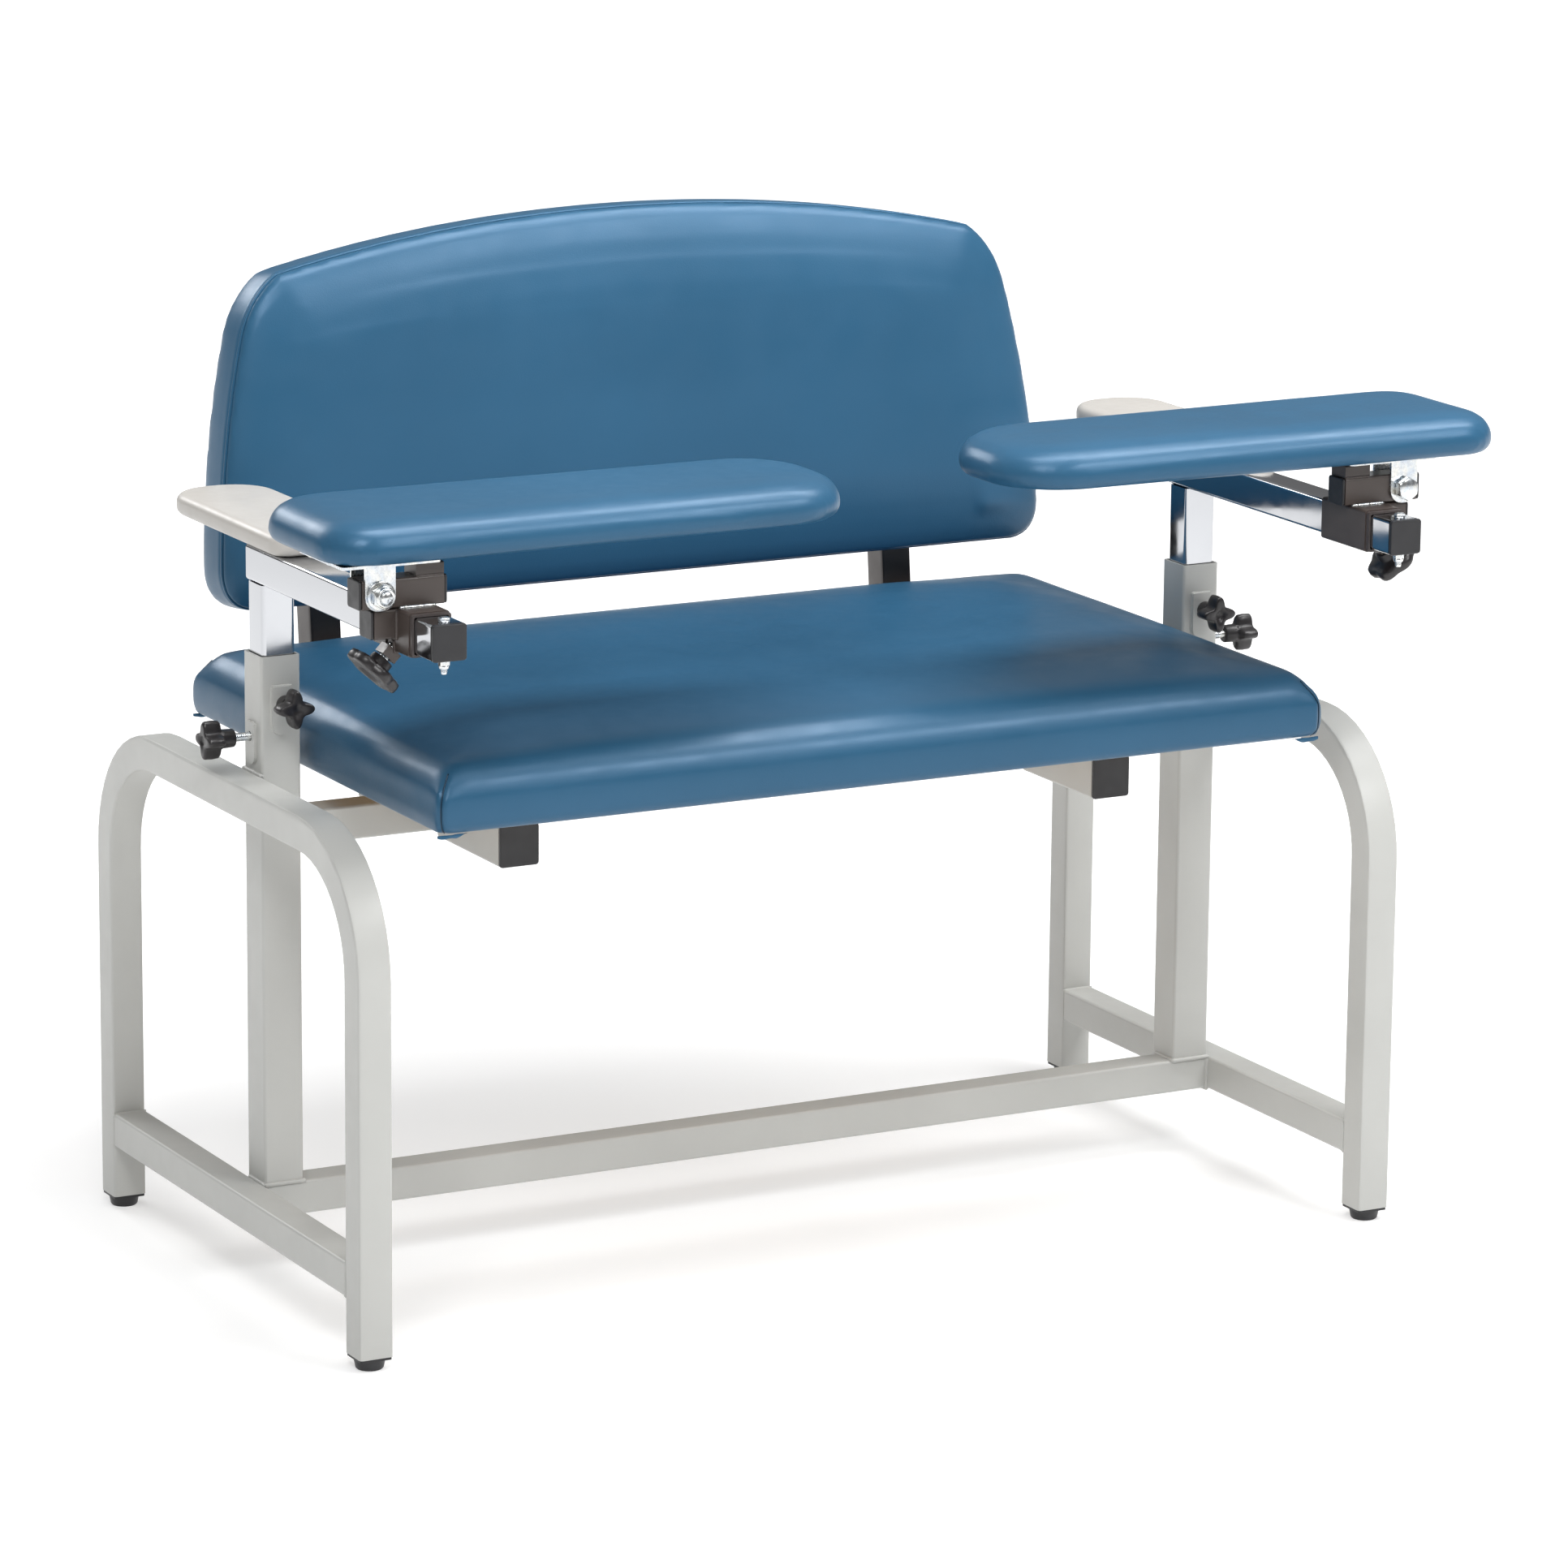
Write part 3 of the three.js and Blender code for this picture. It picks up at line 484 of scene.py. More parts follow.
for side, out in SIDES.items():
    for kind, direction in (("front", (0, -1, 0)), ("side", (out, 0, 0))):
        node = f"post_knob_{kind}_{side}"
        lo, hi = cad(node)
        centre = (lo + hi) / 2
        direction = Vector(direction)
        along = centre.dot(direction)
        far = max(abs(lo.dot(direction) - along), abs(hi.dot(direction) - along))
        tip = centre + direction * far
        grip = lobed_grip(tip, direction, 4, 9.6 * MM, 17.6 * MM, 1.35, -17 * MM, 0, 8.2 * MM, 1.2 * MM)
        body = f"{node}_body"
        knob = attach(make_object(f"{node}_grip", *grip, knob_plastic), body)
        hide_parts(node)
        stud = thread(tip, -direction, 3.9 * MM, 28 * MM, 2 * far - 0.2 * MM, 1.25 * MM)
        attach(make_object(f"{node}_stud", *stud, zinc), body)

    node = f"sleeve_knob_{side}"
    body = f"{node}_body"
    slant = Vector((out, 0, -1)).normalized()
    sleeve_lo, sleeve_hi = cad(f"sleeve_{side}")
    arm_lo, arm_hi = cad(f"arm_tube_{side}")
    arm_x = (arm_lo.x + arm_hi.x) / 2
    arm_z = (arm_lo.z + arm_hi.z) / 2
    sleeve_y = (sleeve_lo.y + sleeve_hi.y) / 2
    corner = Vector((arm_x + out * SLEEVE_HALF, sleeve_y, arm_z - SLEEVE_HALF))
    grip = lobed_grip(corner, slant, 6, 22.5 * MM, 25.8 * MM, 0.8, 17.5 * MM, 27.8 * MM, 10 * MM, 2.2 * MM)
    knob = attach(make_object(f"{node}_grip", *grip, knob_plastic), body)
    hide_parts(node)
    stud = thread(corner, slant, 4.6 * MM, -4.4 * MM, 12.5 * MM, 1.5 * MM)
    attach(make_object(f"{node}_stud", *stud, zinc), body)


# ---------------------------------------------------------------- arm fasteners, boards and welds
def rounded_rect(x0, y0, x1, y1, radii, steps=8):
    """Counter-clockwise outline; radii from the lower left corner."""
    corners = [(x0, y0, 1, 1, 180), (x1, y0, -1, 1, 270), (x1, y1, -1, -1, 0), (x0, y1, 1, -1, 90)]
    points = []
    for (cx, cy, sx, sy, start), r in zip(corners, radii):
        for i in range(steps + 1):
            t = math.radians(start + 90 * i / steps)
            points.append((cx + sx * r + r * math.cos(t), cy + sy * r + r * math.sin(t)))
    return points


for side, out in SIDES.items():
    arm_body, sleeve_body, pad_body = (f"{part}_{side}_body" for part in ("arm", "sleeve", "pad"))
    tube_lo, tube_hi = cad(f"arm_tube_{side}")
    x_mid, z_mid = (tube_lo.x + tube_hi.x) / 2, (tube_lo.z + tube_hi.z) / 2

    # stop bolt through the front end of the tube
    lo, hi = cad(f"stop_bolt_{side}")
    axis = ((lo.x + hi.x) / 2, (lo.y + hi.y) / 2, 0)
    up = (0, 0, 1)
    head_r = (hi.y - lo.y) / 2
    flats = head_r * math.sqrt(3)
    parts = [
        thread(axis, (0, 0, -1), 2.9 * MM, -tube_hi.z, -lo.z, 1.0 * MM),
        washer(axis, up, head_r, 3 * MM, tube_hi.z + 0.1 * MM, tube_hi.z + 1.2 * MM),
        hex_solid(axis, up, flats, tube_hi.z + 1.2 * MM, hi.z),
        hex_solid(axis, up, flats, tube_lo.z - 6.0 * MM, tube_lo.z - 0.4 * MM, True, True),
        revolve(axis, up, [(3.2 * MM, tube_lo.z - 8.4 * MM), (4.2 * MM, tube_lo.z - 7.9 * MM),
                           (4.6 * MM, tube_lo.z - 6 * MM), (4.6 * MM, tube_lo.z - 5 * MM)]),
    ]
    bolt = attach(make_object(f"stop_bolt_detail_{side}", *shift_faces(parts), zinc), arm_body)
    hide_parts(f"stop_bolt_{side}")

    # hand board: bullnose edge, screws from below at the tube
    lo, hi = cad(f"arm_board_{side}")
    r_front, r_rear, nose = 19 * MM, 42 * MM, 7.5 * MM
    thick = hi.z - lo.z
    rings = []
    for t in np.linspace(-90, 0, 7):
        c, s = math.cos(math.radians(t)), math.sin(math.radians(t))
        rings.append((nose * (1 - c), lo.z + nose * (1 + s)))
    for t in np.linspace(0, 90, 7):
        c, s = math.cos(math.radians(t)), math.sin(math.radians(t))
        rings.append((nose * (1 - c), hi.z - nose * (1 - s)))
    rings = [[(px, py, z) for px, py in rounded_rect(lo.x + i, lo.y + i, hi.x - i, hi.y - i,
                                                     [r_front - i, r_front - i, r_rear - i, r_rear - i], 10)]
             for i, z in rings]
    board = attach(make_object(f"arm_board_skin_{side}", *stack_rings(rings), board_skin), arm_body)
    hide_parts(f"arm_board_{side}")
    screws = []
    for y in (lo.y + 100 * MM, tube_hi.y - 60 * MM):
        if y < tube_hi.y:
            screws.append(pan_screw((x_mid, y, tube_lo.z - 0.05 * MM), (0, 0, -1), 5.5 * MM, 2.6 * MM))
    attach(make_object(f"arm_board_screws_{side}", *shift_faces(screws), zinc), arm_body)

    # welds round the sleeve
    sl_lo, sl_hi = cad(f"sleeve_{side}")
    bar_lo, bar_hi = cad(f"hinge_bar_{side}")
    half = SLEEVE_HALF
    y_mid = (sl_lo.y + sl_hi.y) / 2
    x_out = x_mid + out * half
    top_z = z_mid + half
    stub = 25.4 * MM
    y_front, y_rear = y_mid - stub / 2, y_mid + stub / 2
    stub_low = top_z - stub - 0.5 * MM
    bead_top = top_z - 1.5 * MM
    bead = [weld_line([(x_out, y_front, bead_top), (x_out, y_front, stub_low), (x_out, y_rear, stub_low),
                       (x_out, y_rear, bead_top)], 1.7 * MM)]
    corner = Vector((x_out, y_mid, z_mid - half))
    slant = Vector((out, 0, -1)).normalized()
    across = Vector((out, 0, 1)).normalized()
    foot_a = corner + slant * 0.2 * MM + across * 7.5 * MM
    foot_b = corner + slant * 0.2 * MM - across * 7.5 * MM
    y_half = Vector((0, 7.5 * MM, 0))
    lift = -slant * 7.5 * MM
    for foot in (foot_a, foot_b):
        bead.append(weld_line([foot - y_half + lift, foot + y_half + lift], 1.5 * MM, False, foot.z * 70))
    for y in (-1, 1):
        bead.append(weld_line([corner + across * 7.0 * MM + y_half * y + lift * 0.93, corner + y_half * y,
                               corner - across * 7.0 * MM + y_half * y + lift * 0.93], 1.4 * MM, False, y))
    attach(make_object(f"sleeve_welds_{side}", *shift_faces(bead), brown), sleeve_body)
    x_a, x_b = x_mid - out * half * 0.92, x_mid + out * half * 0.85
    bead = [weld_line([(x_a, y, top_z), (x_b, y, top_z)], 1.9 * MM, False, y * 40)
            for y in (y_front + 0.6 * MM, y_rear - 0.6 * MM)]
    attach(make_object(f"hinge_bar_welds_{side}", *shift_faces(bead), zinc), sleeve_body)
    stop_x = [bar_lo.x + 26 * MM, bar_lo.x] if out > 0 else [bar_hi.x - 26 * MM, bar_hi.x]
    stop_z = top_z + 0.3 * MM + stub
    bead = weld_line([(x, y_front + 1.3 * MM, stop_z) for x in stop_x], 1.3 * MM, False, 5)
    attach(make_object(f"stop_block_weld_{side}", *bead, brown), sleeve_body)

    # flip hinge bolt: head forwards on the right arm, nut forwards on the left arm
    lo, hi = cad(f"hinge_bolt_{side}")
    pivot = Vector(((lo.x + hi.x) / 2, y_mid, (lo.z + hi.z) / 2))
    head = Vector((0, -out, 0))
    stack = stub / 2 + 3.1 * MM
    parts = [
        revolve(pivot, head, [(6.2 * MM, -stack - 3 * MM), (6.3 * MM, stack + 1 * MM)]),
        washer(pivot, head, 9.6 * MM, 6.2 * MM, stack, stack + 0.9 * MM),
        hex_solid(pivot, head, 19 * MM, stack + 0.9 * MM, stack + 8.4 * MM),
        washer(pivot, -head, 12.6 * MM, 6.2 * MM, stack, stack + 2 * MM),
        hex_solid(pivot, -head, 19 * MM, stack + 2 * MM, stack + 9.2 * MM),
        revolve(pivot, -head, [(9.0 * MM, stack + 8.2 * MM), (8.8 * MM, stack + 10.6 * MM),
                               (8.2 * MM, stack + 12.0 * MM), (7.3 * MM, stack + 12.5 * MM),
                               (6.6 * MM, stack + 12.1 * MM)]),
        thread(pivot, -head, 6.1 * MM, stack + 8 * MM, stack + 14.3 * MM, 1.75 * MM),
    ]
    bolt = attach(make_object(f"hinge_bolt_detail_{side}", *shift_faces(parts), zinc), sleeve_body)
    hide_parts(f"hinge_bolt_{side}")

    # screws and washers that hold the pad to its bracket plate
    plate_lo, plate_hi = cad(f"pad_bracket_{side}")
    plate_z = plate_hi.z - 2.5 * MM
    parts = []
    for px in (plate_lo.x + 9 * MM, plate_hi.x - 9 * MM):
        for py in (y_mid + 27 * MM, plate_hi.y - 10 * MM):
            parts.append(washer((px, py, plate_z), (0, 0, -1), 6.5 * MM, 2.5 * MM, 0.05 * MM, 1.2 * MM))
            parts.append(pan_screw((px, py, plate_z - 1.2 * MM), (0, 0, -1), 4.4 * MM, 2.6 * MM))
    attach(make_object(f"pad_screws_{side}", *shift_faces(parts), zinc), pad_body)


# ---------------------------------------------------------------- cushions
def mesh_points(mesh):
    co = np.empty(len(mesh.vertices) * 3)
    mesh.vertices.foreach_get("co", co)
    return co.reshape(-1, 3)


def set_points(mesh, points):
    mesh.vertices.foreach_set("co", np.ascontiguousarray(points, np.float32).ravel())
    mesh.update()


def evaluated_copy(obj):
    """The mesh an object has once its modifiers are applied."""
    depsgraph = bpy.context.evaluated_depsgraph_get()
    return bpy.data.meshes.new_from_object(obj.evaluated_get(depsgraph))


def bake_modifiers(obj):
    mesh = evaluated_copy(obj)
    obj.modifiers.clear()
    obj.data = mesh


def remeshed(obj, voxel):
    mod = obj.modifiers.new("remesh", "REMESH")
    mod.mode = "VOXEL"
    mod.voxel_size = voxel
    bake_modifiers(obj)


def smooth_field(mesh, field, rounds):
    """Average a value per vertex with its neighbours, so the skin stays taut and has no folds."""
    ends = np.empty(len(mesh.edges) * 2, dtype=np.int64)
    mesh.edges.foreach_get("vertices", ends)
    a, b = ends.reshape(-1, 2).T
    n = len(field)
    count = np.bincount(a, minlength=n) + np.bincount(b, minlength=n)
    for _ in range(rounds):
        total = np.bincount(a, field[b], n) + np.bincount(b, field[a], n)
        field = (field + total / count) / 2
    return field


def inflate(obj, pinned, pressure, cap):
    """Cloth under pressure: `pinned` points hold, and no point moves further than cap."""
    start = mesh_points(obj.data)
    group = obj.vertex_groups.new(name="pins")
    group.add([int(i) for i in np.nonzero(pinned)[0]], 1.0, "REPLACE")
    mod = obj.modifiers.new("cloth", "CLOTH")
    cloth = mod.settings
    cloth.quality = 5
    cloth.mass = 0.3
    cloth.tension_stiffness = cloth.compression_stiffness = 18
    cloth.shear_stiffness = 8
    cloth.bending_stiffness = 2.0
    cloth.use_pressure = True
    cloth.uniform_pressure_force = pressure
    cloth.effector_weights.gravity = 0
    cloth.vertex_group_mass = "pins"
    cloth.pin_stiffness = 1
    mod.collision_settings.use_collision = False
    mod.point_cache.frame_start = 1
    mod.point_cache.frame_end = SIM_FRAMES
    scene.frame_start, scene.frame_end = 1, SIM_FRAMES
    for f in range(1, SIM_FRAMES + 1):
        scene.frame_set(f)
    swollen = evaluated_copy(obj)
    normals = np.empty(len(start) * 3)
    obj.data.vertices.foreach_get("normal", normals)
    normals = normals.reshape(-1, 3)
    swell = np.clip(((mesh_points(swollen) - start) * normals).sum(axis=1), 0, cap)
    swell = smooth_field(obj.data, swell, TAUT_ROUNDS) * smooth_field(obj.data, 1.0 - pinned, 5)
    obj.modifiers.remove(mod)
    obj.vertex_groups.remove(group)
    set_points(obj.data, start + normals * swell[:, None])
    bpy.data.meshes.remove(swollen)
    scene.frame_set(1)


def finish_cushion(obj, body, fill, *nodes):
    sub = obj.modifiers.new("subdivide", "SUBSURF")
    sub.levels = sub.render_levels = 1
    bake_modifiers(obj)
    obj.data.materials.clear()
    obj.data.materials.append(blue_vinyl)
    obj.data.polygons.foreach_set("use_smooth", [True] * len(obj.data.polygons))
    attach(obj, body)
    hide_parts(*nodes)


def bump_down(distance, width):
    """1 on a line, falling smoothly to 0 at `width` from it."""
    t = np.clip(1 - distance / width, 0, 1)
    return t * t * (3 - 2 * t)


def distance_to_loop(points, loop):
    """Distance from each point to a closed line, in metres, counted up to one metre."""
    nearest = np.full(len(points), 1.0)
    for a, b in zip(loop, np.roll(loop, -1, axis=0)):
        ab = b - a
        t = np.clip(((points - a) @ ab) / max(ab @ ab, 1e-12), 0, 1)
        nearest = np.minimum(nearest, np.linalg.norm(points - a - t[:, None] * ab, axis=1))
    return nearest


def tuck_flap(start, along, length, seed):
    """Folded end of the cover that peeks out below a sewn corner."""
    rings = []
    for i in range(15):
        t = i / 14
        wave = noise.noise(Vector((t * 3.1, seed * 5.3, 0.4)))
        drop = 4.2 * MM * math.sin(math.pi * min(1, 0.12 + t)) ** 0.5 * (1 + 0.5 * wave)
        centre = start + along * (length * (t - 0.15)) + Vector((0, wave * 2.0 * MM, 0.6 * MM))
        rings.append([centre + Vector((0, 0.9 * MM * math.cos(a), -drop / 2 + drop / 2 * math.sin(a)))
                      for a in np.linspace(0, 2 * math.pi, 12, endpoint=False)])
    return stack_rings(rings)


def seam_tube(name, obj, points, outward, r, lift=0.0, closed=False, mat=None):
    """Thin sewn line laid on a cushion's skin: points are pushed onto the surface from outside. Unless
    another material is given, it is the darkened seam vinyl, painted shade of the seam's groove.
    """
    bvh = BVHTree.FromObject(obj, bpy.context.evaluated_depsgraph_get())
    path = []
    for p, n in zip(points, outward):
        hit = bvh.ray_cast(p + n * 0.05, -n, 0.1)
        path.append(hit[0] + n * lift if hit[0] else p)
    rings = []
    n = len(path)
    for i, p in enumerate(path):
        ahead, behind = ((i + 1) % n, i - 1) if closed else (min(i + 1, n - 1), max(i - 1, 0))
        tangent = (path[ahead] - path[behind]).normalized()
        u = outward[i].cross(tangent).normalized()
        v = tangent.cross(u)
        rings.append([p + u * (r * math.cos(k * math.pi / 4)) + v * (r * math.sin(k * math.pi / 4))
                      for k in range(8)])
    skin = stack_rings(rings + [rings[0]], False, False) if closed else stack_rings(rings)
    return make_object(name, *skin, mat or seam_shade_vinyl)


# --- seat: vinyl pulled over foam, sewn up the four corners
seat_lo, seat_hi = cad("seat_cushion")
SEAT_CROWN = 12 * MM


def seat_rings():
    """Outline insets up the side: tucked under below, wide soft edge above."""
    rows = [(30, 2.5), (22, 2.5), (17, 0.2), (6, 0), (1.5, 1.5), (-0.5, 5), (-1.5, 12), (-1.5, 26),
            (-0.6, 34), (1.8, 41), (6.0, 47.5), (12.0, 53), (20.5, 57.5), (32, 60)]
    rings = []
    for inset, height in rows:
        i = inset * MM
        r = 5 * MM + 0.3 * max(i, 0)
        outline = rounded_rect(seat_lo.x + i, seat_lo.y + i, seat_hi.x + 3 * MM - i,
                               seat_hi.y + 2 * MM - i, [r] * 4, 4)
        rings.append([(x, y, seat_lo.z + height * MM) for x, y in outline])
    return rings


seat = make_object("seat_cushion_cover", *stack_rings(seat_rings()), blue_vinyl)
remeshed(seat, 6 * MM)
p = mesh_points(seat.data)
u = np.clip((p[:, 0] - seat_lo.x) / (seat_hi.x - seat_lo.x), 0, 1)
v = np.clip((p[:, 1] - seat_lo.y) / (seat_hi.y - seat_lo.y), 0, 1)
crown = np.clip(np.minimum(np.minimum(u, 1 - u) * (seat_hi.x - seat_lo.x),
                           np.minimum(v, 1 - v) * (seat_hi.y - seat_lo.y))
                / (130 * MM), 0, 1)
on_top = np.clip((p[:, 2] - seat_lo.z - 40 * MM) / (20 * MM), 0, 1)
p[:, 2] += SEAT_CROWN * 0.6 * on_top * np.sin(crown * math.pi / 2)
set_points(seat.data, p)
corner_dist = np.hypot(np.minimum(p[:, 0] - seat_lo.x, seat_hi.x - p[:, 0]),
                       np.minimum(p[:, 1] - seat_lo.y, seat_hi.y - p[:, 1]))
pins = (p[:, 2] < seat_lo.z + 4 * MM) | ((corner_dist < 9 * MM) & (p[:, 2] < seat_lo.z + 48 * MM))
inflate(seat, pins, 4.0, 7 * MM)
finish_cushion(seat, "frame", 0.8, "seat_cushion")
SEAM_TOP = seat_hi.z - 12 * MM
seat_corners = [(x, y) for y in (seat_lo.y, seat_hi.y) for x in (seat_lo.x, seat_hi.x)]
p = mesh_points(seat.data)
for cx, cy in seat_corners:
    inward = np.array((CENTRE_X - cx, (seat_lo.y + seat_hi.y) / 2 - cy))
    inward = np.sign(inward) / math.sqrt(2)
    along = np.abs((p[:, 0] - cx) * inward[1] - (p[:, 1] - cy) * inward[0])
    near = np.hypot(p[:, 0] - cx, p[:, 1] - cy) < 30 * MM
    below = np.clip((SEAM_TOP + 6 * MM - p[:, 2]) / (8 * MM), 0, 1)
    groove = 2.2 * MM * bump_down(along, 4.0 * MM) * near * below
    p[:, :2] += inward * groove[:, None]
    end = np.array((cx, cy, SEAM_TOP + 4 * MM)) + np.array((*inward, 0)) * 7 * MM
    gap = np.linalg.norm(p - end, axis=1)
    p += np.array((*inward, -1)) / 1.7 * (3.0 * MM * bump_down(gap, 26 * MM))[:, None]
set_points(seat.data, p)
# Corner seams: a thin dark tube in each groove is painted shade of the seam; below it hangs a tucked flap of
# the cover.
for number, (cx, cy) in enumerate(seat_corners):
    inward = Vector((math.copysign(1, CENTRE_X - cx), math.copysign(1, -cy), 0)).normalized()
    line = [Vector((cx, cy, z)) for z in np.linspace(SEAM_TOP + 2 * MM, seat_lo.z + 1.5 * MM, 26)]
    seam = seam_tube(f"seat_corner_seam_shade_{number}", seat, line, [-inward] * len(line), 0.7 * MM,
                     0.35 * MM)
    attach(seam, "frame")
    tuck = tuck_flap(Vector((cx, cy, seat_lo.z)) + inward * 5 * MM,
                     Vector((math.copysign(1, CENTRE_X - cx), 0, 0)), 28 * MM, number)
    attach(make_object(f"seat_corner_tuck_{number}", *tuck, blue_vinyl), "frame")

# --- back: arched panel with a boxed edge, sewn round the front

def back_outline(inset, count=14):
    """Right half and left half of the back's outline in its own plane, in millimetres."""
    def curve(p0, c, p1, n):
        return [tuple((1 - t) ** 2 * a + 2 * t * (1 - t) * b + t * t * d for a, b, d in zip(p0, c, p1))
                for t in np.linspace(0, 1, n, endpoint=False)]
    i = inset
    right = curve((399 - i, 554 + i), (427 - i, 557 + i), (429 - i, 589), 8)
    right += curve((429 - i, 589), (424 - i, 702), (400.5 - i, 798), count)
    right += curve((400.5 - i, 798), (392.5 - i, 838 - i * 0.6), (361 - i * 0.5, 861 - i * 0.9), 10)
    right += curve((361 - i * 0.5, 861 - i * 0.9), (190, 901.5 - i), (0, 901.5 - i), count + 6)
    right.append((0, 901.5 - i))
    left = [(-x, z) for x, z in reversed(right[:-1])]
    return right + left


def back_place(x, depth, z):
    """Millimetres in the back's plane to the row frame; depth runs backwards from its face."""
    s, d = (z - 600) * MM, depth * MM
    return Vector((CENTRE_X + x * MM, BACK_PIVOT.y + s * math.sin(LEAN) + d * math.cos(LEAN),
                   BACK_PIVOT.z + s * math.cos(LEAN) - d * math.sin(LEAN)))


rows = [(74, -8.0), (50, -6.5), (32, -4.0), (19, -1.0), (10, 2.2), (4.5, 5.5), (1.6, 9), (0.0, 12), (0.6, 18),
        (0.0, 30), (0.0, 44),
        (0.8, 54), (3, 59.0), (10, 60)]
rings = [[back_place(x, depth, z) for x, z in back_outline(inset)] for inset, depth in rows]
back = make_object("back_cushion_cover", *stack_rings(rings), blue_vinyl)
remeshed(back, 5.5 * MM)
outline_now = np.array([back_place(x, 12, z) for x, z in back_outline(0)])
p = mesh_points(back.data)
seam_dist = distance_to_loop(p, outline_now)
plane_n = np.array((0, math.cos(LEAN), -math.sin(LEAN)))
depth = (p - np.array(back_place(0, 0, 600))) @ plane_n
inflate(back, (depth > 58 * MM) | (seam_dist < 4 * MM), 4.0, 4 * MM)
finish_cushion(back, "frame", 0.7, "back_cushion")
p = mesh_points(back.data)
seam_dist = distance_to_loop(p, outline_now)
normals = np.empty(len(p) * 3)
back.data.vertices.foreach_get("normal", normals)
p -= normals.reshape(-1, 3) * (1.8 * MM * bump_down(seam_dist, 5 * MM))[:, None]
set_points(back.data, p)
middle = BACK_PIVOT + Vector((0, 0, 130 * MM))
face_normal = Vector((0, -math.cos(LEAN), math.sin(LEAN)))
welt_line = [back_place(x, 12, z) for x, z in back_outline(0, 26)]
outward = []
for i, q in enumerate(welt_line):
    tangent = (welt_line[(i + 1) % len(welt_line)] - welt_line[i - 1]).normalized()
    side_way = tangent.cross(face_normal)
    if side_way.dot(q - middle) < 0:
        side_way = -side_way
    outward.append((side_way + face_normal * 0.5).normalized())
welt = seam_tube("back_welt", back, welt_line, outward, 1.5 * MM, 0.2 * MM, True, blue_vinyl)
attach(welt, "frame")


# --- arm pads: foam on a board, full round edge
def pad_outline(side, inset):
    lo, hi = cad(f"arm_pad_{side}")
    out = SIDES[side]
    i = inset
    r_out, r_in = 46 * MM - i, 70 * MM - i
    x_in, x_out = (lo.x, hi.x) if out > 0 else (-hi.x, -lo.x)
    y0, y1 = lo.y + i, hi.y - i
    xi, xo = x_in + i, x_out - i
    narrow = 6 * MM
    points = []
    for cx, cy, r, start in ((xi + r_in, y0 + narrow + r_in, r_in, 180), (xo - r_out, y0 + r_out, r_out, 270),
                             (xo - r_out, y1 - r_out, r_out, 0), (xi + r_in, y1 - narrow - r_in, r_in, 90)):
        for k in range(11):
            t = math.radians(start + 9 * k)
            points.append((cx + r * math.cos(t), cy + r * math.sin(t)))
    return points if out > 0 else [(-x, y) for x, y in reversed(points)]


for side, out in SIDES.items():
    lo, hi = cad(f"arm_pad_{side}")
    height = hi.z - lo.z
    rows = [(30, 2.5), (24, 2.5), (20, 0.2), (9, 0.0), (4.5, 1.6), (1.6, 5.0), (0.2, 10), (0.6, 16),
            (2.8, 22), (7.0, 27.5), (13.0, 31.8), (21, 34.6), (31, 36)]
    rings = [[(x, y, lo.z + h * MM) for x, y in pad_outline(side, i * MM)] for i, h in rows]
    pad = make_object(f"arm_pad_cover_{side}", *stack_rings(rings), blue_vinyl)
    remeshed(pad, 4.5 * MM)
    p = mesh_points(pad.data)
    inflate(pad, p[:, 2] < lo.z + 4 * MM, 4.0, 3 * MM)
    finish_cushion(pad, f"pad_{side}_body", 0.85, f"arm_pad_{side}")

# ---------------------------------------------------------------- floor, light and camera
floor_mat, floor_tree, floor_shader, floor_coords = new_material("studio_floor", (0.60, 0.60, 0.60), 0.8)
floor_shader.inputs["Specular IOR Level"].default_value = 0.05
floor_shader.inputs["Emission Color"].default_value = (1, 1, 1, 1)
reach = floor_tree.nodes.new("ShaderNodeVectorMath")
reach.operation = "LENGTH"
glow = floor_tree.nodes.new("ShaderNodeMapRange")
glow.inputs["From Min"].default_value = 0.7
glow.inputs["From Max"].default_value = 3.2
glow.inputs["To Min"].default_value = 0.46
glow.inputs["To Max"].default_value = 0.95
floor_tree.links.new(floor_coords, reach.inputs[0])
floor_tree.links.new(reach.outputs["Value"], glow.inputs["Value"])
floor_tree.links.new(glow.outputs["Result"], floor_shader.inputs["Emission Strength"])
bpy.ops.mesh.primitive_circle_add(vertices=96, radius=40, fill_type="NGON", location=(0, 0, 0))
floor = bpy.context.object
floor.name = "studio_floor"
floor.data.materials.append(floor_mat)

world = bpy.data.worlds.new("studio")
scene.world = world
world.use_nodes = True
wt = world.node_tree
background = wt.nodes["Background"]
sky_coords = wt.nodes.new("ShaderNodeTexCoord")
sky_split = wt.nodes.new("ShaderNodeSeparateXYZ")
sky_ramp = wt.nodes.new("ShaderNodeValToRGB")
sky_ramp.color_ramp.elements[0].position = 0.0
sky_ramp.color_ramp.elements[0].color = (0.20, 0.20, 0.21, 1)
sky_ramp.color_ramp.elements[1].position = 0.9
sky_ramp.color_ramp.elements[1].color = (1, 1, 1, 1)
wt.links.new(sky_coords.outputs["Generated"], sky_split.inputs["Vector"])
wt.links.new(sky_split.outputs["Z"], sky_ramp.inputs["Fac"])
wt.links.new(sky_ramp.outputs["Color"], background.inputs["Color"])
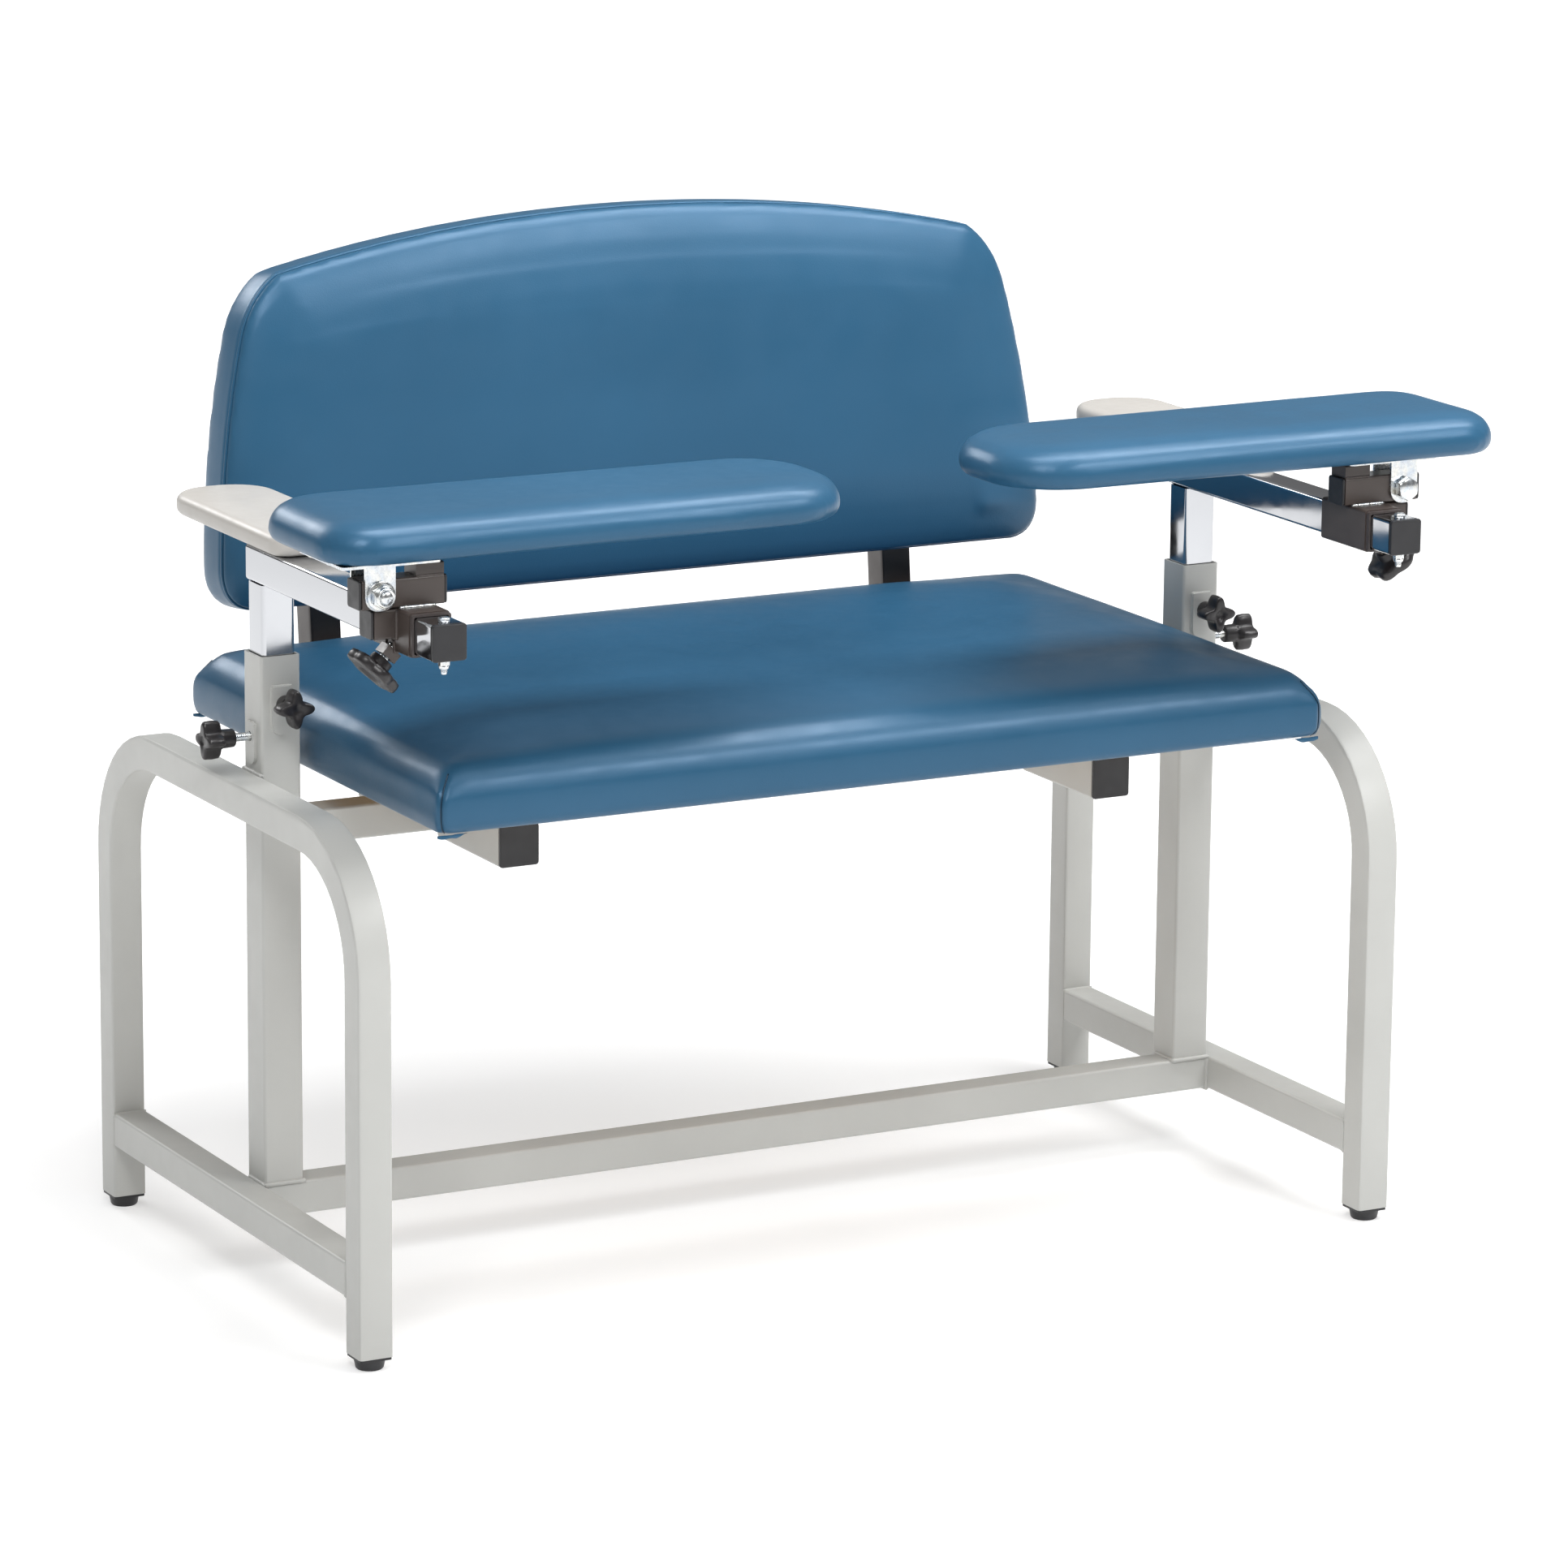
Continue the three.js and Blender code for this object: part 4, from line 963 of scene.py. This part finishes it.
background.inputs["Strength"].default_value = 0.5


def softbox(name, location, target, size, power):
    light = bpy.data.lights.new(name, "AREA")
    light.shape = "RECTANGLE"
    light.size, light.size_y = size
    light.energy = power
    obj = bpy.data.objects.new(name, light)
    obj.location = location
    obj.rotation_mode = "QUATERNION"
    obj.rotation_quaternion = (Vector(target) - Vector(location)).to_track_quat("-Z", "Y")
    scene.collection.objects.link(obj)


softbox("key_light", (-1.8, -2.4, 3.1), (0, 0, 0.5), (1.2, 0.9), 52)
softbox("front_light", (1.6, -2.6, 2.9), (0, 0, 0.5), (2.0, 0.9), 58)
softbox("top_light", (0.8, -0.45, 2.7), (0.8, 0, 0.4), (3.0, 0.8), 84)
softbox("rear_light", (-1.1, 2.4, 1.9), (0, 0, 0.6), (1.2, 0.7), 24)

CAMERA_AZIMUTH, CAMERA_PITCH, CAMERA_ROLL = map(math.radians, (-28.01, 13.28, 0.537))
CAMERA_DISTANCE = 6.414
CAMERA_TARGET = Vector((CENTRE_X + 0.030, 0.006, 0.4083))
camera_data = bpy.data.cameras.new("camera")
camera_data.sensor_width = 36
camera_data.lens = 160.36
camera = bpy.data.objects.new("camera", camera_data)
toward = Vector((math.sin(CAMERA_AZIMUTH) * math.cos(CAMERA_PITCH),
                 -math.cos(CAMERA_AZIMUTH) * math.cos(CAMERA_PITCH), math.sin(CAMERA_PITCH)))
right = Vector((math.cos(CAMERA_AZIMUTH), math.sin(CAMERA_AZIMUTH), 0))
up = toward.cross(right)
cam_right = right * math.cos(CAMERA_ROLL) + up * math.sin(CAMERA_ROLL)
cam_up = up * math.cos(CAMERA_ROLL) - right * math.sin(CAMERA_ROLL)
camera.matrix_world = Matrix((
    (cam_right.x, cam_up.x, toward.x, 0), (cam_right.y, cam_up.y, toward.y, 0),
    (cam_right.z, cam_up.z, toward.z, 0), (0, 0, 0, 1)))
camera.location = CAMERA_TARGET + toward * CAMERA_DISTANCE
scene.collection.objects.link(camera)
scene.camera = camera
scene.view_settings.view_transform = "Standard"
